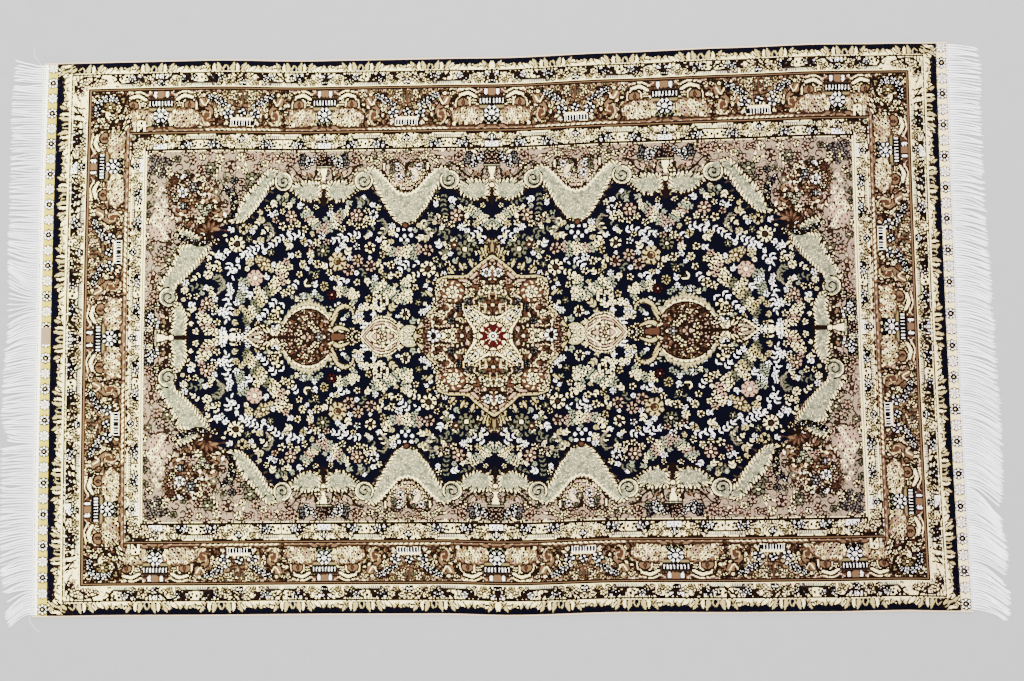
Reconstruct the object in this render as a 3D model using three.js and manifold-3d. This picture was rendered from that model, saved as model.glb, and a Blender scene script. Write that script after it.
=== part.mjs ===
// A hand-knotted silk rug lying flat: a cut-pile field with a flat-woven kilim strip at each end, an
// overcast selvedge cord along both long sides, and the warp ends left as a fringe past the kilim.
// +X runs along the rug, +Y across it and +Z up. The origin is the middle of its underside.
import * as THREE from "three";
import Module from "manifold-3d";

const wasm = await Module();
wasm.setup();

// Driving dimensions, in millimetres
const PILE_LENGTH = 1219.2;
const PILE_WIDTH = 762;
const PILE_TOP = 4.5; // from the floor to the tips of the pile
const PILE_SHOULDER = 3.7; // where the clipped side of the pile turns in
const SHOULDER_IN = 1;
const KILIM_TOP = 1.8;
const KILIM_STEP = 1.2; // run of the slope from the kilim up to the pile's shoulder
const KILIM = { left: 21, right: 16 };
const SELVEDGE_WIDTH = 2.4;
const GAP = 0.3; // between pieces that touch
const TWINING_WIDTH = 2.6; // the row that locks the warps before they hang free
const LOCKS = 132; // fringe locks at each end
const LOCK = { width: 5.2, tipShare: 0.45, height: 1.7, tipHeight: 1 };
const LOCK_UNEVENNESS = { reach: 1.6, lean: 0.25 };
const LOCK_STEPS = 3;
const ROOT_IN_TWINING = 1.3;
const STRAY = { width: 1.8, height: 1.3 };
const STRAY_STEPS = 4;

// How far the rug is from a true rectangle
const SIDE_DIFFERENCE = 2.9; // how much each end of the near side stands past the far side's
const END_BOW = -3; // shift of both ends along X, half way across
const FAR_SIDE = 381;
const NEAR_SIDE = -383;
// Wander of the two long sides along the rug: far and near are added to the sides above.
const SIDE_WANDER = [
  { along: -660, far: 0, near: -3 },
  { along: -600, far: 0.2, near: -3.2 },
  { along: -520, far: 0.4, near: -2.4 },
  { along: -400, far: 0.4, near: -2.6 },
  { along: -240, far: -4.2, near: -2 },
  { along: -80, far: -4.9, near: -2.4 },
  { along: 20, far: -5.8, near: -5 },
  { along: 170, far: -2.2, near: -1.8 },
  { along: 330, far: 0.8, near: -2.7 },
  { along: 440, far: 2.8, near: -2.4 },
  { along: 540, far: 1.6, near: -1 },
  { along: 600, far: 0.6, near: -2.2 },
  { along: 660, far: 0, near: -2.4 },
];

// How the fringe lies at each end. across is where a lock is rooted, reach is how far its tip stands
// out, and lean is how far the tip has slid across. A jump between two close rows is a parting.
const FRINGE_LIE = {
  left: [
    { across: -382, reach: 31, lean: -15 },
    { across: -354, reach: 36, lean: -26 },
    { across: -350, reach: 31, lean: -6 },
    { across: -336, reach: 40, lean: -12 },
    { across: -300, reach: 43, lean: -11 },
    { across: -255, reach: 46, lean: -4 },
    { across: -215, reach: 44, lean: 1 },
    { across: -152, reach: 43, lean: -4 },
    { across: -148, reach: 34, lean: 4 },
    { across: -116, reach: 44, lean: -3 },
    { across: -60, reach: 44, lean: -5 },
    { across: 0, reach: 40, lean: -12 },
    { across: 30, reach: 38, lean: -15 },
    { across: 62, reach: 39, lean: 22 },
    { across: 90, reach: 41, lean: 12 },
    { across: 150, reach: 40, lean: 2 },
    { across: 250, reach: 41, lean: 0 },
    { across: 320, reach: 42, lean: 2 },
    { across: 360, reach: 40, lean: 5 },
    { across: 380, reach: 37, lean: 9 },
  ],
  right: [
    { across: -382, reach: 38, lean: -17 },
    { across: -368, reach: 46, lean: -24 },
    { across: -334, reach: 48, lean: -26 },
    { across: -322, reach: 38, lean: -24 },
    { across: -318, reach: 44, lean: -19 },
    { across: -286, reach: 48, lean: -26 },
    { across: -232, reach: 42, lean: -32 },
    { across: -222, reach: 33, lean: -31 },
    { across: -218, reach: 44, lean: -24 },
    { across: -180, reach: 47, lean: -28 },
    { across: -110, reach: 49, lean: -20 },
    { across: -40, reach: 46, lean: -15 },
    { across: 60, reach: 45, lean: -13 },
    { across: 150, reach: 41, lean: -10 },
    { across: 260, reach: 40, lean: -6 },
    { across: 340, reach: 41, lean: -4 },
    { across: 378, reach: 39, lean: -5 },
  ],
};

// Single threads that have worked loose at the corners, as plan points from the twining outwards.
const STRAYS = {
  left: [
    [[-629, 376], [-637, 385], [-643, 394], [-642, 404]],
    [[-634.6, -377], [-638, -388], [-633, -398], [-622, -407]],
  ],
  right: [],
};

const colours = {
  silk: 0x8f7257,
  selvedge: 0xd9d6d0,
  fringe: 0xf0f1ee,
};

const rug = new THREE.Group();

function addPiece(name, geometry, colour, roughness) {
  const material = new THREE.MeshStandardMaterial({ color: colour, roughness, metalness: 0 });
  const mesh = new THREE.Mesh(geometry, material);
  mesh.name = name;
  rug.add(mesh);
}

// The value of one named column at a place along a table, eased between the two rows about it.
function fromTable(table, key, place, column) {
  const after = table.findIndex((row) => row[key] > place);
  if (after === 0) return table[0][column];
  if (after < 0) return table[table.length - 1][column];
  const from = table[after - 1];
  const to = table[after];
  const share = THREE.MathUtils.smoothstep(place, from[key], to[key]);
  return THREE.MathUtils.lerp(from[column], to[column], share);
}

const outerFar = (x) => FAR_SIDE + fromTable(SIDE_WANDER, "along", x, "far");
const outerNear = (x) => NEAR_SIDE + fromTable(SIDE_WANDER, "along", x, "near");

// A plan point of the rug: along is its place on a true rectangle, and across is -1 at the near side
// and 1 at the far side, both measured inside the selvedges.
function planPoint(along, across) {
  const x =
    along -
    SIDE_DIFFERENCE * (along / (PILE_LENGTH / 2)) * across +
    END_BOW * (1 - across * across);
  const inset = SELVEDGE_WIDTH + GAP;
  const y = THREE.MathUtils.lerp(outerNear(x) + inset, outerFar(x) - inset, (across + 1) / 2);
  return { x, y };
}

function geometryFrom(points, triangles) {
  const geometry = new THREE.BufferGeometry();
  geometry.setAttribute("position", new THREE.Float32BufferAttribute(points.flat(), 3));
  geometry.setIndex(triangles.flat());
  return geometry;
}

// A closed solid through a row of rings, each an equal number of points that run anticlockwise when
// seen from the last ring back towards the first.
function loft(rings) {
  const sides = rings[0].length;
  const triangles = [];
  for (let i = 0; i + 1 < rings.length; i++) {
    for (let j = 0; j < sides; j++) {
      const a = i * sides + j;
      const b = i * sides + ((j + 1) % sides);
      triangles.push([a, b, b + sides], [a, b + sides, a + sides]);
    }
  }
  const last = (rings.length - 1) * sides;
  for (let j = 1; j + 1 < sides; j++) {
    triangles.push([0, j + 1, j], [last, last + j, last + j + 1]);
  }
  return geometryFrom(rings.flat(), triangles);
}

function asSolid(geometry) {
  return new wasm.Manifold(
    new wasm.Mesh({
      numProp: 3,
      vertProperties: geometry.attributes.position.array,
      triVerts: new Uint32Array(geometry.index.array),
    }),
  );
}

function asGeometry(solid) {
  const mesh = solid.getMesh();
  const geometry = new THREE.BufferGeometry();
  geometry.setAttribute("position", new THREE.BufferAttribute(mesh.vertProperties, 3));
  geometry.setIndex(new THREE.BufferAttribute(mesh.triVerts, 1));
  return geometry;
}

// Woven body: kilim, pile and kilim in one cloth, flat beneath and stepped where the pile begins
function bodyGeometry() {
  const half = PILE_LENGTH / 2;
  const interiorSteps = 24;
  const widthSteps = 8;
  const columns = [
    { along: -half - KILIM.left, top: KILIM_TOP },
    { along: -half - KILIM_STEP, top: KILIM_TOP },
    { along: -half, top: PILE_SHOULDER },
  ];
  for (let i = 0; i <= interiorSteps; i++) {
    const along = THREE.MathUtils.lerp(-half + SHOULDER_IN, half - SHOULDER_IN, i / interiorSteps);
    columns.push({ along, top: PILE_TOP });
  }
  columns.push(
    { along: half, top: PILE_SHOULDER },
    { along: half + KILIM_STEP, top: KILIM_TOP },
    { along: half + KILIM.right, top: KILIM_TOP },
  );
  const shoulderShare = 1 - SHOULDER_IN / (PILE_WIDTH / 2);
  const rows = [{ across: -1, top: PILE_SHOULDER }];
  for (let j = 0; j <= widthSteps; j++) {
    const across = THREE.MathUtils.lerp(-shoulderShare, shoulderShare, j / widthSteps);
    rows.push({ across, top: PILE_TOP });
  }
  rows.push({ across: 1, top: PILE_SHOULDER });

  const top = [];
  const bottom = [];
  for (const column of columns) {
    for (const row of rows) {
      const { x, y } = planPoint(column.along, row.across);
      top.push([x, y, Math.min(column.top, row.top)]);
      bottom.push([x, y, 0]);
    }
  }
  const under = top.length;
  const at = (i, j) => i * rows.length + j;
  const triangles = [];
  for (let i = 0; i + 1 < columns.length; i++) {
    for (let j = 0; j + 1 < rows.length; j++) {
      const a = at(i, j);
      const b = at(i + 1, j);
      const c = at(i + 1, j + 1);
      const d = at(i, j + 1);
      triangles.push([a, b, c], [a, c, d]);
      triangles.push([a + under, c + under, b + under], [a + under, d + under, c + under]);
    }
  }
  const wall = (a, b) => triangles.push([a, a + under, b + under], [a, b + under, b]);
  const lastColumn = columns.length - 1;
  const lastRow = rows.length - 1;
  for (let i = 0; i < lastColumn; i++) {
    wall(at(i, 0), at(i + 1, 0));
    wall(at(i + 1, lastRow), at(i, lastRow));
  }
  for (let j = 0; j < lastRow; j++) {
    wall(at(0, j + 1), at(0, j));
    wall(at(lastColumn, j), at(lastColumn, j + 1));
  }
  return geometryFrom([...top, ...bottom], triangles);
}

// Selvedge: warps at the long side, bound round with silk into one firm cord
function selvedgeGeometry(side) {
  const steps = 30;
  const flats = 8;
  const radius = SELVEDGE_WIDTH / 2;
  const corner = radius / Math.cos(Math.PI / flats);
  const edge = side > 0 ? outerFar : outerNear;
  const from = planPoint(-PILE_LENGTH / 2 - KILIM.left, side).x;
  const to = planPoint(PILE_LENGTH / 2 + KILIM.right, side).x;
  const rings = [];
  for (let i = 0; i <= steps; i++) {
    const x = THREE.MathUtils.lerp(from, to, i / steps);
    const y = edge(x) - side * radius;
    const ring = [];
    for (let j = 0; j < flats; j++) {
      const angle = ((j + 0.5) / flats) * 2 * Math.PI;
      ring.push([x, y + corner * Math.cos(angle), radius + corner * Math.sin(angle)]);
    }
    rings.push(ring);
  }
  return loft(rings);
}

// Fringe: the twined row at the end of the kilim, and the locks of warp that lie out from it

// A lock or thread as a low flat-bottomed ridge along plan points.
function lockSolid(points, widthAt, heightAt) {
  const rings = points.map((point, i) => {
    const before = points[Math.max(i - 1, 0)];
    const after = points[Math.min(i + 1, points.length - 1)];
    const way = new THREE.Vector2(after[0] - before[0], after[1] - before[1]).normalize();
    const share = i / (points.length - 1);
    const half = widthAt(share, way) / 2;
    const place = (out, z) => [point[0] - way.y * out, point[1] + way.x * out, z];
    return [place(half, 0), place(0, heightAt(share)), place(-half, 0)];
  });
  return asSolid(loft(rings));
}

// A repeatable uneven number from -1 to 1.
function unevenness(seed) {
  const wave = Math.sin(seed * 127.1 + 3.7) * 43758.5453;
  return 2 * (wave - Math.floor(wave)) - 1;
}

function fringeGeometry(end) {
  const side = end === "left" ? -1 : 1;
  const endAlong = side * (PILE_LENGTH / 2 + KILIM[end] + GAP);
  const lie = FRINGE_LIE[end];
  const stripSteps = 16;
  const strip = [];
  for (let i = 0; i <= stripSteps; i++) {
    const { x, y } = planPoint(endAlong, THREE.MathUtils.lerp(-1, 1, i / stripSteps));
    const inner = x;
    const outer = x + side * TWINING_WIDTH;
    const [low, high] = side > 0 ? [inner, outer] : [outer, inner];
    strip.push([
      [low, y, 0],
      [low, y, KILIM_TOP],
      [high, y, KILIM_TOP],
      [high, y, 0],
    ]);
  }
  const parts = [asSolid(loft(strip))];
  for (let n = 0; n < LOCKS; n++) {
    const across = THREE.MathUtils.lerp(-1, 1, (n + 0.5) / LOCKS);
    const root = planPoint(endAlong, across);
    const rootX = root.x + side * (TWINING_WIDTH - ROOT_IN_TWINING);
    const reach =
      fromTable(lie, "across", root.y, "reach") + LOCK_UNEVENNESS.reach * unevenness(n + 1);
    const lean =
      fromTable(lie, "across", root.y, "lean") + LOCK_UNEVENNESS.lean * unevenness(n + 1 + LOCKS);
    const points = [];
    for (let i = 0; i <= LOCK_STEPS; i++) {
      const share = i / LOCK_STEPS;
      const bend = share * share * (1.5 - 0.5 * share);
      points.push([
        rootX + side * (reach + ROOT_IN_TWINING) * share,
        root.y + lean * bend,
      ]);
    }
    const widthAt = (share, way) =>
      LOCK.width * THREE.MathUtils.lerp(1, LOCK.tipShare, share) * Math.abs(way.x);
    const heightAt = (share) => THREE.MathUtils.lerp(LOCK.height, LOCK.tipHeight, share);
    parts.push(lockSolid(points, widthAt, heightAt));
  }
  for (const route of STRAYS[end]) {
    const curve = new THREE.CatmullRomCurve3(route.map(([x, y]) => new THREE.Vector3(x, y, 0)));
    const points = curve.getPoints(STRAY_STEPS).map((point) => [point.x, point.y]);
    parts.push(lockSolid(points, () => STRAY.width, () => STRAY.height));
  }
  return asGeometry(wasm.Manifold.union(parts));
}

addPiece("rug_body", bodyGeometry(), colours.silk, 0.55);
addPiece("selvedge_far", selvedgeGeometry(1), colours.selvedge, 0.6);
addPiece("selvedge_near", selvedgeGeometry(-1), colours.selvedge, 0.6);
addPiece("fringe_left", fringeGeometry("left"), colours.fringe, 0.7);
addPiece("fringe_right", fringeGeometry("right"), colours.fringe, 0.7);

export default rug;
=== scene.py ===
"""A hand-knotted silk rug on a pale floor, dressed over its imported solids.

The pile, its plan of knots, the back, the flat-woven ends, the side cords and the fringes follow in the
order in which a weaver meets them. All lengths in the tables are in millimetres.
"""

import bpy
import numpy as np
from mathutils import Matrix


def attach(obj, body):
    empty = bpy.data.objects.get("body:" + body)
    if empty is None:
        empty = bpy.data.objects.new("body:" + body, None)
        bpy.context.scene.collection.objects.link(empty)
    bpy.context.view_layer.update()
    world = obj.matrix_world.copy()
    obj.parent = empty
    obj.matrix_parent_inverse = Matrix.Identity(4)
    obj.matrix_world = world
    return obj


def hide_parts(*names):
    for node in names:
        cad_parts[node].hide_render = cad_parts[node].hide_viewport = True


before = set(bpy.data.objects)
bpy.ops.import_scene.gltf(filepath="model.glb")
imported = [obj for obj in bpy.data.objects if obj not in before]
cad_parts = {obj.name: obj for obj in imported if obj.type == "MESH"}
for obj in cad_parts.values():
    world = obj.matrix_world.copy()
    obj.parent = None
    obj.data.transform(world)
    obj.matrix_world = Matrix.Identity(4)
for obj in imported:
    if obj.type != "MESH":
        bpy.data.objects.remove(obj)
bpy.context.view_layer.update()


# Camera
# It looks almost straight down from 1.2 m, as the photographer held it: a little past the middle of the
# rug, with the near side slightly larger.
camera = bpy.data.objects.new("camera", bpy.data.cameras.new("camera"))
camera.data.sensor_width = 36
camera.data.lens = 31.64
EYE = (0.06068, -0.08003, 1.22365)
LOOK = np.array([-0.02969, 0.05080, -0.99827])
UP = np.array([0.01408, 0.99863, 0.05040])
turned = np.eye(4)
turned[:3, :3] = np.stack([np.cross(LOOK, UP), UP, -LOOK], axis=1)
turned[:3, 3] = EYE
camera.matrix_world = turned.T.tolist()
bpy.context.collection.objects.link(camera)
bpy.context.scene.camera = camera


# Pile
# The carpet itself: silk knots tied on silk warps in rows of 1200 by 726, clipped to an even nap and laid
# flat. The weaver reads its pattern from a plan of a quarter of the knots, and turns it over for the rest.
PILE_LONG = 1219.2
PILE_WIDE = 762.0
HALF_LONG = PILE_LONG / 2
HALF_WIDE = PILE_WIDE / 2
PLAN_COLUMNS = 600
PLAN_ROWS = 363

# Dyed silks, as sRGB colours. A knot holds a silk's number, which is its place in this list.
SILKS = dict(
    night=(12, 12, 38),
    black=(16, 10, 14),
    bark=(44, 24, 16),
    cocoa=(90, 60, 44),
    ivory=(238, 236, 224),
    white=(246, 246, 244),
    ribbon=(208, 208, 194),
    pale_ribbon=(180, 184, 167),
    sand=(184, 160, 130),
    rose_sand=(210, 200, 188),
    rust=(144, 102, 78),
    brick=(116, 72, 54),
    cherry=(118, 28, 34),
    blush=(222, 211, 200),
    gold=(198, 189, 150),
    straw=(224, 220, 194),
    cream_yellow=(227, 223, 138),
    mint=(208, 212, 200),
    sage=(166, 168, 146),
    olive=(118, 102, 70),
    dove=(182, 180, 180),
    plum=(72, 52, 64),
)
NUMBER = {name: number for number, name in enumerate(SILKS)}

# Where the bands of the border change, measured across from the middle, on the long and short sides
BANDS_LONG = (-256.4, 256.4, 280.6, 340.0, 363.0, HALF_WIDE)
BANDS_SHORT = (-25.1, 487.7, 508.7, 565.0, 589.5, HALF_LONG)
INNER, MAIN, OUTER, GUARD = range(1, 5)
LONG_MIDDLES = (0.0, 116.4, 234.7, 357.0, 467.5)
SHORT_MIDDLES = (0.0, 118.0, 236.0)


def smooth(points, steps=6):
    """A Catmull-Rom curve through points: each span is a cubic of its two points and their neighbours."""
    p = np.asarray(points, float)
    p = np.vstack([2 * p[0] - p[1], p, 2 * p[-1] - p[-2]])
    f = np.linspace(0, 1, steps, endpoint=False)[:, None, None]
    a, b, c, d = (p[i : len(p) - 3 + i][None] for i in range(4))
    curve = 0.5 * (2 * b + (c - a) * f + (2 * a - 5 * b + 4 * c - d) * f**2 + (3 * b - a - 3 * c + d) * f**3)
    return np.vstack([curve.transpose(1, 0, 2).reshape(-1, 2), p[-2]])


class Plan:
    """The knot plan of a quarter rug, in millimetres from its middle. A knot holds a silk's number."""

    def __init__(self, columns, rows, long, wide):
        self.knots = np.zeros((rows, columns), np.uint8)
        self.x = (np.arange(columns) + 0.5) * long / columns
        self.y = (np.arange(rows) + 0.5) * wide / rows
        self.x_as_t = np.interp(self.x, BANDS_SHORT, BANDS_LONG)
        self.stand(0, 0)

    def stand(self, s, t=0.0, turned=False, mirrored=False):
        """Draws from here on about a new middle. s runs along the rug, or across it where turned, and t away
        from its middle."""
        self.at = (s, t)
        self.turned = turned
        self.hand = -1 if mirrored else 1
        self.side = 1

    def sides(self):
        """Goes to the left side and then to the right. What is drawn meanwhile is laid on that side of the
        middle, so both sides are drawn by the same lines."""
        for self.side in (-1, 1):
            yield self.side
        self.side = 1

    def patch(self, s_low, s_high, t_low, t_high):
        """The knots in a box about the middle, as slices, and each one's s and t."""
        s_axis, t_axis = (self.y, self.x_as_t) if self.turned else (self.x, self.y)
        s_ends = sorted((self.at[0] + self.hand * s_low, self.at[0] + self.hand * s_high))
        s_cut = slice(*np.searchsorted(s_axis, s_ends))
        t_cut = slice(*np.searchsorted(t_axis, (self.at[1] + t_low, self.at[1] + t_high)))
        s = (s_axis[s_cut] - self.at[0]) * self.hand
        t = t_axis[t_cut] - self.at[1]
        if self.turned:
            return (s_cut, t_cut), *np.broadcast_arrays(s[:, None], t[None, :])
        return (t_cut, s_cut), *np.broadcast_arrays(s[None, :], t[:, None])

    def lay(self, box, depth, layers):
        """Colours a box's knots by how deep in a shape they lie, for layers of (least depth, silk)."""
        where, s, t = self.patch(*box)
        deep = depth(s, t)
        knots = self.knots[where]
        for least, silk in layers:
            knots[deep > least] = NUMBER[silk]

    def bar(self, s_low, s_high, t_low, t_high, silk):
        where, _, _ = self.patch(self.side * s_low, self.side * s_high, t_low, t_high)
        self.knots[where] = NUMBER[silk]

    def dot(self, s0, t0, r, *layers):
        """A round spot of radius r, with further silks inside it."""
        s0 = self.side * s0
        box = (s0 - r - 1, s0 + r + 1, t0 - r - 1, t0 + r + 1)
        self.lay(box, lambda s, t: r - np.hypot(s - s0, t - t0), layers)

    def flower(self, s0, t0, r, silk, edge="bark", heart="rust", petals=6, turn=0.3):
        """A rosette. Its rim swells with the cosine of the angle, once a petal; dark knots stand between the
        petals and round the heart."""
        s0 = self.side * s0
        where, s, t = self.patch(s0 - r - 2, s0 + r + 2, t0 - r - 2, t0 + r + 2)
        out = np.hypot(s - s0, t - t0)
        swell = np.abs(np.cos(petals / 2 * (np.arctan2(t - t0, s - s0) - turn)))
        rim = r * (0.82 + 0.18 * swell)
        knots = self.knots[where]
        if edge:
            knots[out < rim + 0.9] = NUMBER[edge]
        knots[out < rim] = NUMBER[silk]
        dark = NUMBER[edge or "black"]
        if r > 3.3:
            wide = 0.55 if edge else 0.5
            knots[(swell < wide) & (np.abs(out - 0.68 * r) < 0.12 * r + 0.2)] = dark
        if r > 6.2:
            knots[np.abs(out - 0.36 * r) < 0.62] = dark
        elif r > 2.6 and edge:
            knots[out < 0.3 * r + 0.5] = dark
        knots[out < 0.24 * r + 0.2] = NUMBER[heart]

    def leaf(self, s0, t0, length, width, turn, silk, edge=None, vein=None):
        """A leaf from its foot, turned by degrees. Its half-width goes by the sine of the share along it."""
        s0 = self.side * s0
        turn = turn if self.side > 0 else 180 - turn
        c, d = np.cos(np.radians(turn)), np.sin(np.radians(turn))
        reach = length + 1
        where, s, t = self.patch(s0 - reach, s0 + reach, t0 - reach, t0 + reach)
        along = ((s - s0) * c + (t - t0) * d) / length
        across = (t - t0) * c - (s - s0) * d
        deep = width / 2 * np.sin(np.pi * np.clip(along, 0, 1) ** 0.8) - np.abs(across)
        knots = self.knots[where]
        if edge:
            knots[deep > -0.8] = NUMBER[edge]
        knots[(deep > 0) & (along > 0) & (along < 1)] = NUMBER[silk]
        if vein:
            knots[(np.abs(across) < 0.5) & (along > 0.1) & (along < 0.8)] = NUMBER[vein]

    def follow(self, path, reach, flow):
        """Runs flow(knots, run, off, long) over the knots near a path: run is how far along it each knot
        lies, off how far to its left, and long the path's length."""
        path = np.asarray(path, float)
        low, high = path.min(0) - reach, path.max(0) + reach
        where, s, t = self.patch(low[0], high[0], low[1], high[1])
        if s.size == 0:
            return
        step = np.diff(path, axis=0)
        size = np.hypot(*step.T)
        before = np.concatenate([[0], np.cumsum(size)])
        best = np.full(s.shape, 1e9)
        run, off = np.zeros(s.shape), np.zeros(s.shape)
        for (ps, pt), (vs, vt), long, start in zip(path, step, size, before):
            share = np.clip(((s - ps) * vs + (t - pt) * vt) / long**2, 0, 1)
            ds, dt = s - ps - share * vs, t - pt - share * vt
            far = np.hypot(ds, dt)
            near = far < best
            best[near] = far[near]
            run[near] = (start + share * long)[near]
            off[near] = (far * np.sign(vs * dt - vt * ds + 1e-9))[near]
        flow(self.knots[where], run, off, before[-1])

    def stem(self, points, width, silk, tip=None):
        """A stem of even width, or one that thins to a tip."""
        tip = width if tip is None else tip

        def flow(knots, run, off, long):
            knots[np.abs(off) < 0.5 * (width + (tip - width) * run / long)] = NUMBER[silk]

        self.follow(smooth(np.asarray(points, float) * (self.side, 1)), width + 2, flow)

    def plume(self, points, widths, fill, edge, tooth=0.0, pitch=5.0):
        """A long curved leaf. Its half-width follows a table of widths, with saw teeth of one pitch."""
        path = smooth(np.asarray(points, float) * (self.side, 1))

        def flow(knots, run, off, long):
            half = 0.5 * np.interp(run / long, np.linspace(0, 1, len(widths)), widths)
            deep = half + tooth * (1 - 2 * ((run / pitch) % 1)) - np.abs(off)
            knots[deep > -1.3] = NUMBER[edge]
            knots[deep > 0] = NUMBER[fill]

        self.follow(path, max(widths) / 2 + tooth + 5, flow)

    def shape(self, points, layers, tooth=0.0, pitch=5.0):
        """A closed curve through points, filled in layers of (least depth, silk). Depth is the distance to
        the curve, inwards from it, plus saw teeth along it."""
        points = np.asarray(points, float) * (self.side, 1)
        ring = smooth(np.vstack([points, points[:1]]), 8)
        low, high = ring.min(0) - 6, ring.max(0) + 6
        where, s, t = self.patch(low[0], high[0], low[1], high[1])
        inside = np.zeros(s.shape, bool)
        near = np.full(s.shape, 1e9)
        run = np.zeros(s.shape)
        start = 0.0
        for (s0, t0), (s1, t1) in zip(ring[:-1], ring[1:]):
            ds, dt = s1 - s0, t1 - t0
            long = np.hypot(ds, dt)
            if long < 1e-6:
                continue
            if dt:
                inside ^= ((t0 > t) != (t1 > t)) & (s < ds * (t - t0) / dt + s0)
            share = np.clip(((s - s0) * ds + (t - t0) * dt) / long**2, 0, 1)
            far = np.hypot(s - s0 - share * ds, t - t0 - share * dt)
            closer = far < near
            near[closer] = far[closer]
            run[closer] = (start + share * long)[closer]
            start += long
        deep = np.where(inside, near, -near) + tooth * (1 - 2 * ((run / pitch) % 1))
        knots = self.knots[where]
        for least, silk in layers:
            knots[deep > least] = NUMBER[silk]

    def scatter(self, ground, box, tries, seed, silks, edge, sizes=(2.6, 5.2), leaves=0.4, stem=None):
        """Fills what is left of a ground with little rosettes and pairs of leaves, wherever one fits."""
        rng = np.random.default_rng(seed)
        for s0, t0, r, kind, turn in zip(
            rng.uniform(box[0], box[1], tries),
            rng.uniform(box[2], box[3], tries),
            sizes[1] - (sizes[1] - sizes[0]) * np.linspace(0, 1, tries) ** 0.7,
            rng.random(tries),
            rng.uniform(0, 360, tries),
        ):
            r = r * rng.uniform(0.85, 1.1)
            where, s, t = self.patch(s0 - r - 0.5, s0 + r + 0.5, t0 - r - 0.5, t0 + r + 0.5)
            spot = self.knots[where][np.hypot(s - s0, t - t0) < r + 0.3]
            if spot.size == 0 or (spot != NUMBER[ground]).mean() > 0.1:
                continue
            silk = silks[rng.integers(len(silks))]
            if kind < leaves:
                c, d = np.cos(np.radians(turn)), np.sin(np.radians(turn))
                if stem:
                    self.leaf(s0 - c * r, t0 - d * r, 2 * r, 1.1, turn, stem)
                for back, side in ((0.9, 40), (0.9, -40), (0.05, 34), (0.05, -34)):
                    self.leaf(s0 - c * r * back, t0 - d * r * back, r * 1.2, r * 0.44, turn + side, silk)
            else:
                heart = ("sage", "cocoa", "sage", "ivory")[rng.integers(4)]
                self.flower(s0, t0, r, silk, edge, heart, 5 if r < 4 else 6, turn)
                if edge is None and r > 3.4:
                    self.dot(s0, t0, 0.9, (0, "black"))

    def spray(self, points, silk, size, gap, width):
        """Pairs of leaves that point on along a path, and one at its tip."""
        path = smooth(points)
        step = np.diff(path, axis=0)
        before = np.concatenate([[0], np.cumsum(np.hypot(*step.T))])
        for run in np.arange(gap * 0.4, before[-1], gap):
            i = max(min(np.searchsorted(before, run), len(step)) - 1, 0)
            s0, t0 = path[i] + step[i] * (run - before[i]) / max(before[i + 1] - before[i], 1e-6)
            way = np.degrees(np.arctan2(step[i][1], step[i][0]))
            for side in (-1, 1):
                self.leaf(s0, t0, size, width, way + side * 48, silk)
        way = np.degrees(np.arctan2(step[-1][1], step[-1][0]))
        self.leaf(path[-1][0], path[-1][1], size, width, way, silk)

    def blossoms(self, points, r, silks, edge, heart, scatter=0.0, seed=0, petals=5, rows=1):
        """Rosettes crowded along a path in one or more staggered rows, their silks taken in turn."""
        rng = np.random.default_rng(seed)
        path = smooth(points, 12)
        step = np.diff(path, axis=0)
        before = np.concatenate([[0], np.cumsum(np.hypot(*step.T))])
        for row in range(rows):
            aside = (row - (rows - 1) / 2) * 1.5 * r
            for count, run in enumerate(np.arange(row * 0.8 * r, before[-1] + 0.1, 1.62 * r)):
                at = min(np.searchsorted(before, run, side="right"), len(step)) - 1
                way = step[at] / np.hypot(*step[at])
                s0, t0 = (np.interp(run, before, path[:, k]) for k in (0, 1))
                ds, dt = rng.uniform(-scatter, scatter, 2)
                size = r * rng.uniform(0.85, 1.15)
                s0, t0 = s0 + ds - way[1] * aside, t0 + dt + way[0] * aside
                self.flower(s0, t0, size, silks[(count + row) % len(silks)], edge, heart, petals,
                    rng.uniform(0, 6))
                if edge is None:
                    self.dot(s0, t0, 0.9, (0, "black"))

    def cloud(self, s0, t0, half_s, half_t, silks, edge, eye, gap=6.6, seed=1):
        """A mass of little blossoms in an oval: scalloped discs on a jittered triangular grid, each with a
        dark eye."""
        rng = np.random.default_rng(seed)
        places = []
        for j, t in enumerate(np.arange(-half_t, half_t + 0.1, gap * 0.87)):
            for s in np.arange(-half_s, half_s + 0.1, gap) + (j % 2) * gap / 2:
                ds, dt = rng.uniform(-0.16, 0.16, 2) * gap
                if ((s + ds) / half_s) ** 2 + ((t + dt) / half_t) ** 2 < 1.08:
                    places.append((s0 + s + ds, t0 + t + dt, silks[rng.integers(len(silks))]))
        for s, t, silk in places:
            self.dot(s, t, gap * 0.62, (0, edge), (0.8, silk))
        for s, t, silk in places:
            self.flower(s, t, gap * 0.5, silk, None, eye, 5, rng.uniform(0, 6))
            for way in rng.uniform(0, 6.3) + np.arange(3) * 2.1:
                self.dot(s + 0.52 * gap * np.cos(way), t + 0.52 * gap * np.sin(way), 0.75, (0, edge))
            self.dot(s, t, 1.15, (0, eye))

    def profile(self, t_low, t_high, ts, halves, layers, s0=0.0):
        """A shape that is alike on both sides of s0, its half-width read from a table along t."""
        reach = max(halves) + 2

        def depth(s, t):
            half = np.interp(t, ts, halves)
            slope = np.interp(t, (np.array(ts[:-1]) + ts[1:]) / 2, np.diff(halves) / np.diff(ts))
            inside = (half - np.abs(s - s0)) / np.sqrt(1 + np.clip(slope, -6, 6) ** 2)
            return np.minimum(inside, np.minimum(t - t_low, t_high - t) * 3)

        self.lay((s0 - reach, s0 + reach, t_low - 2, t_high + 2), depth, layers)


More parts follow.
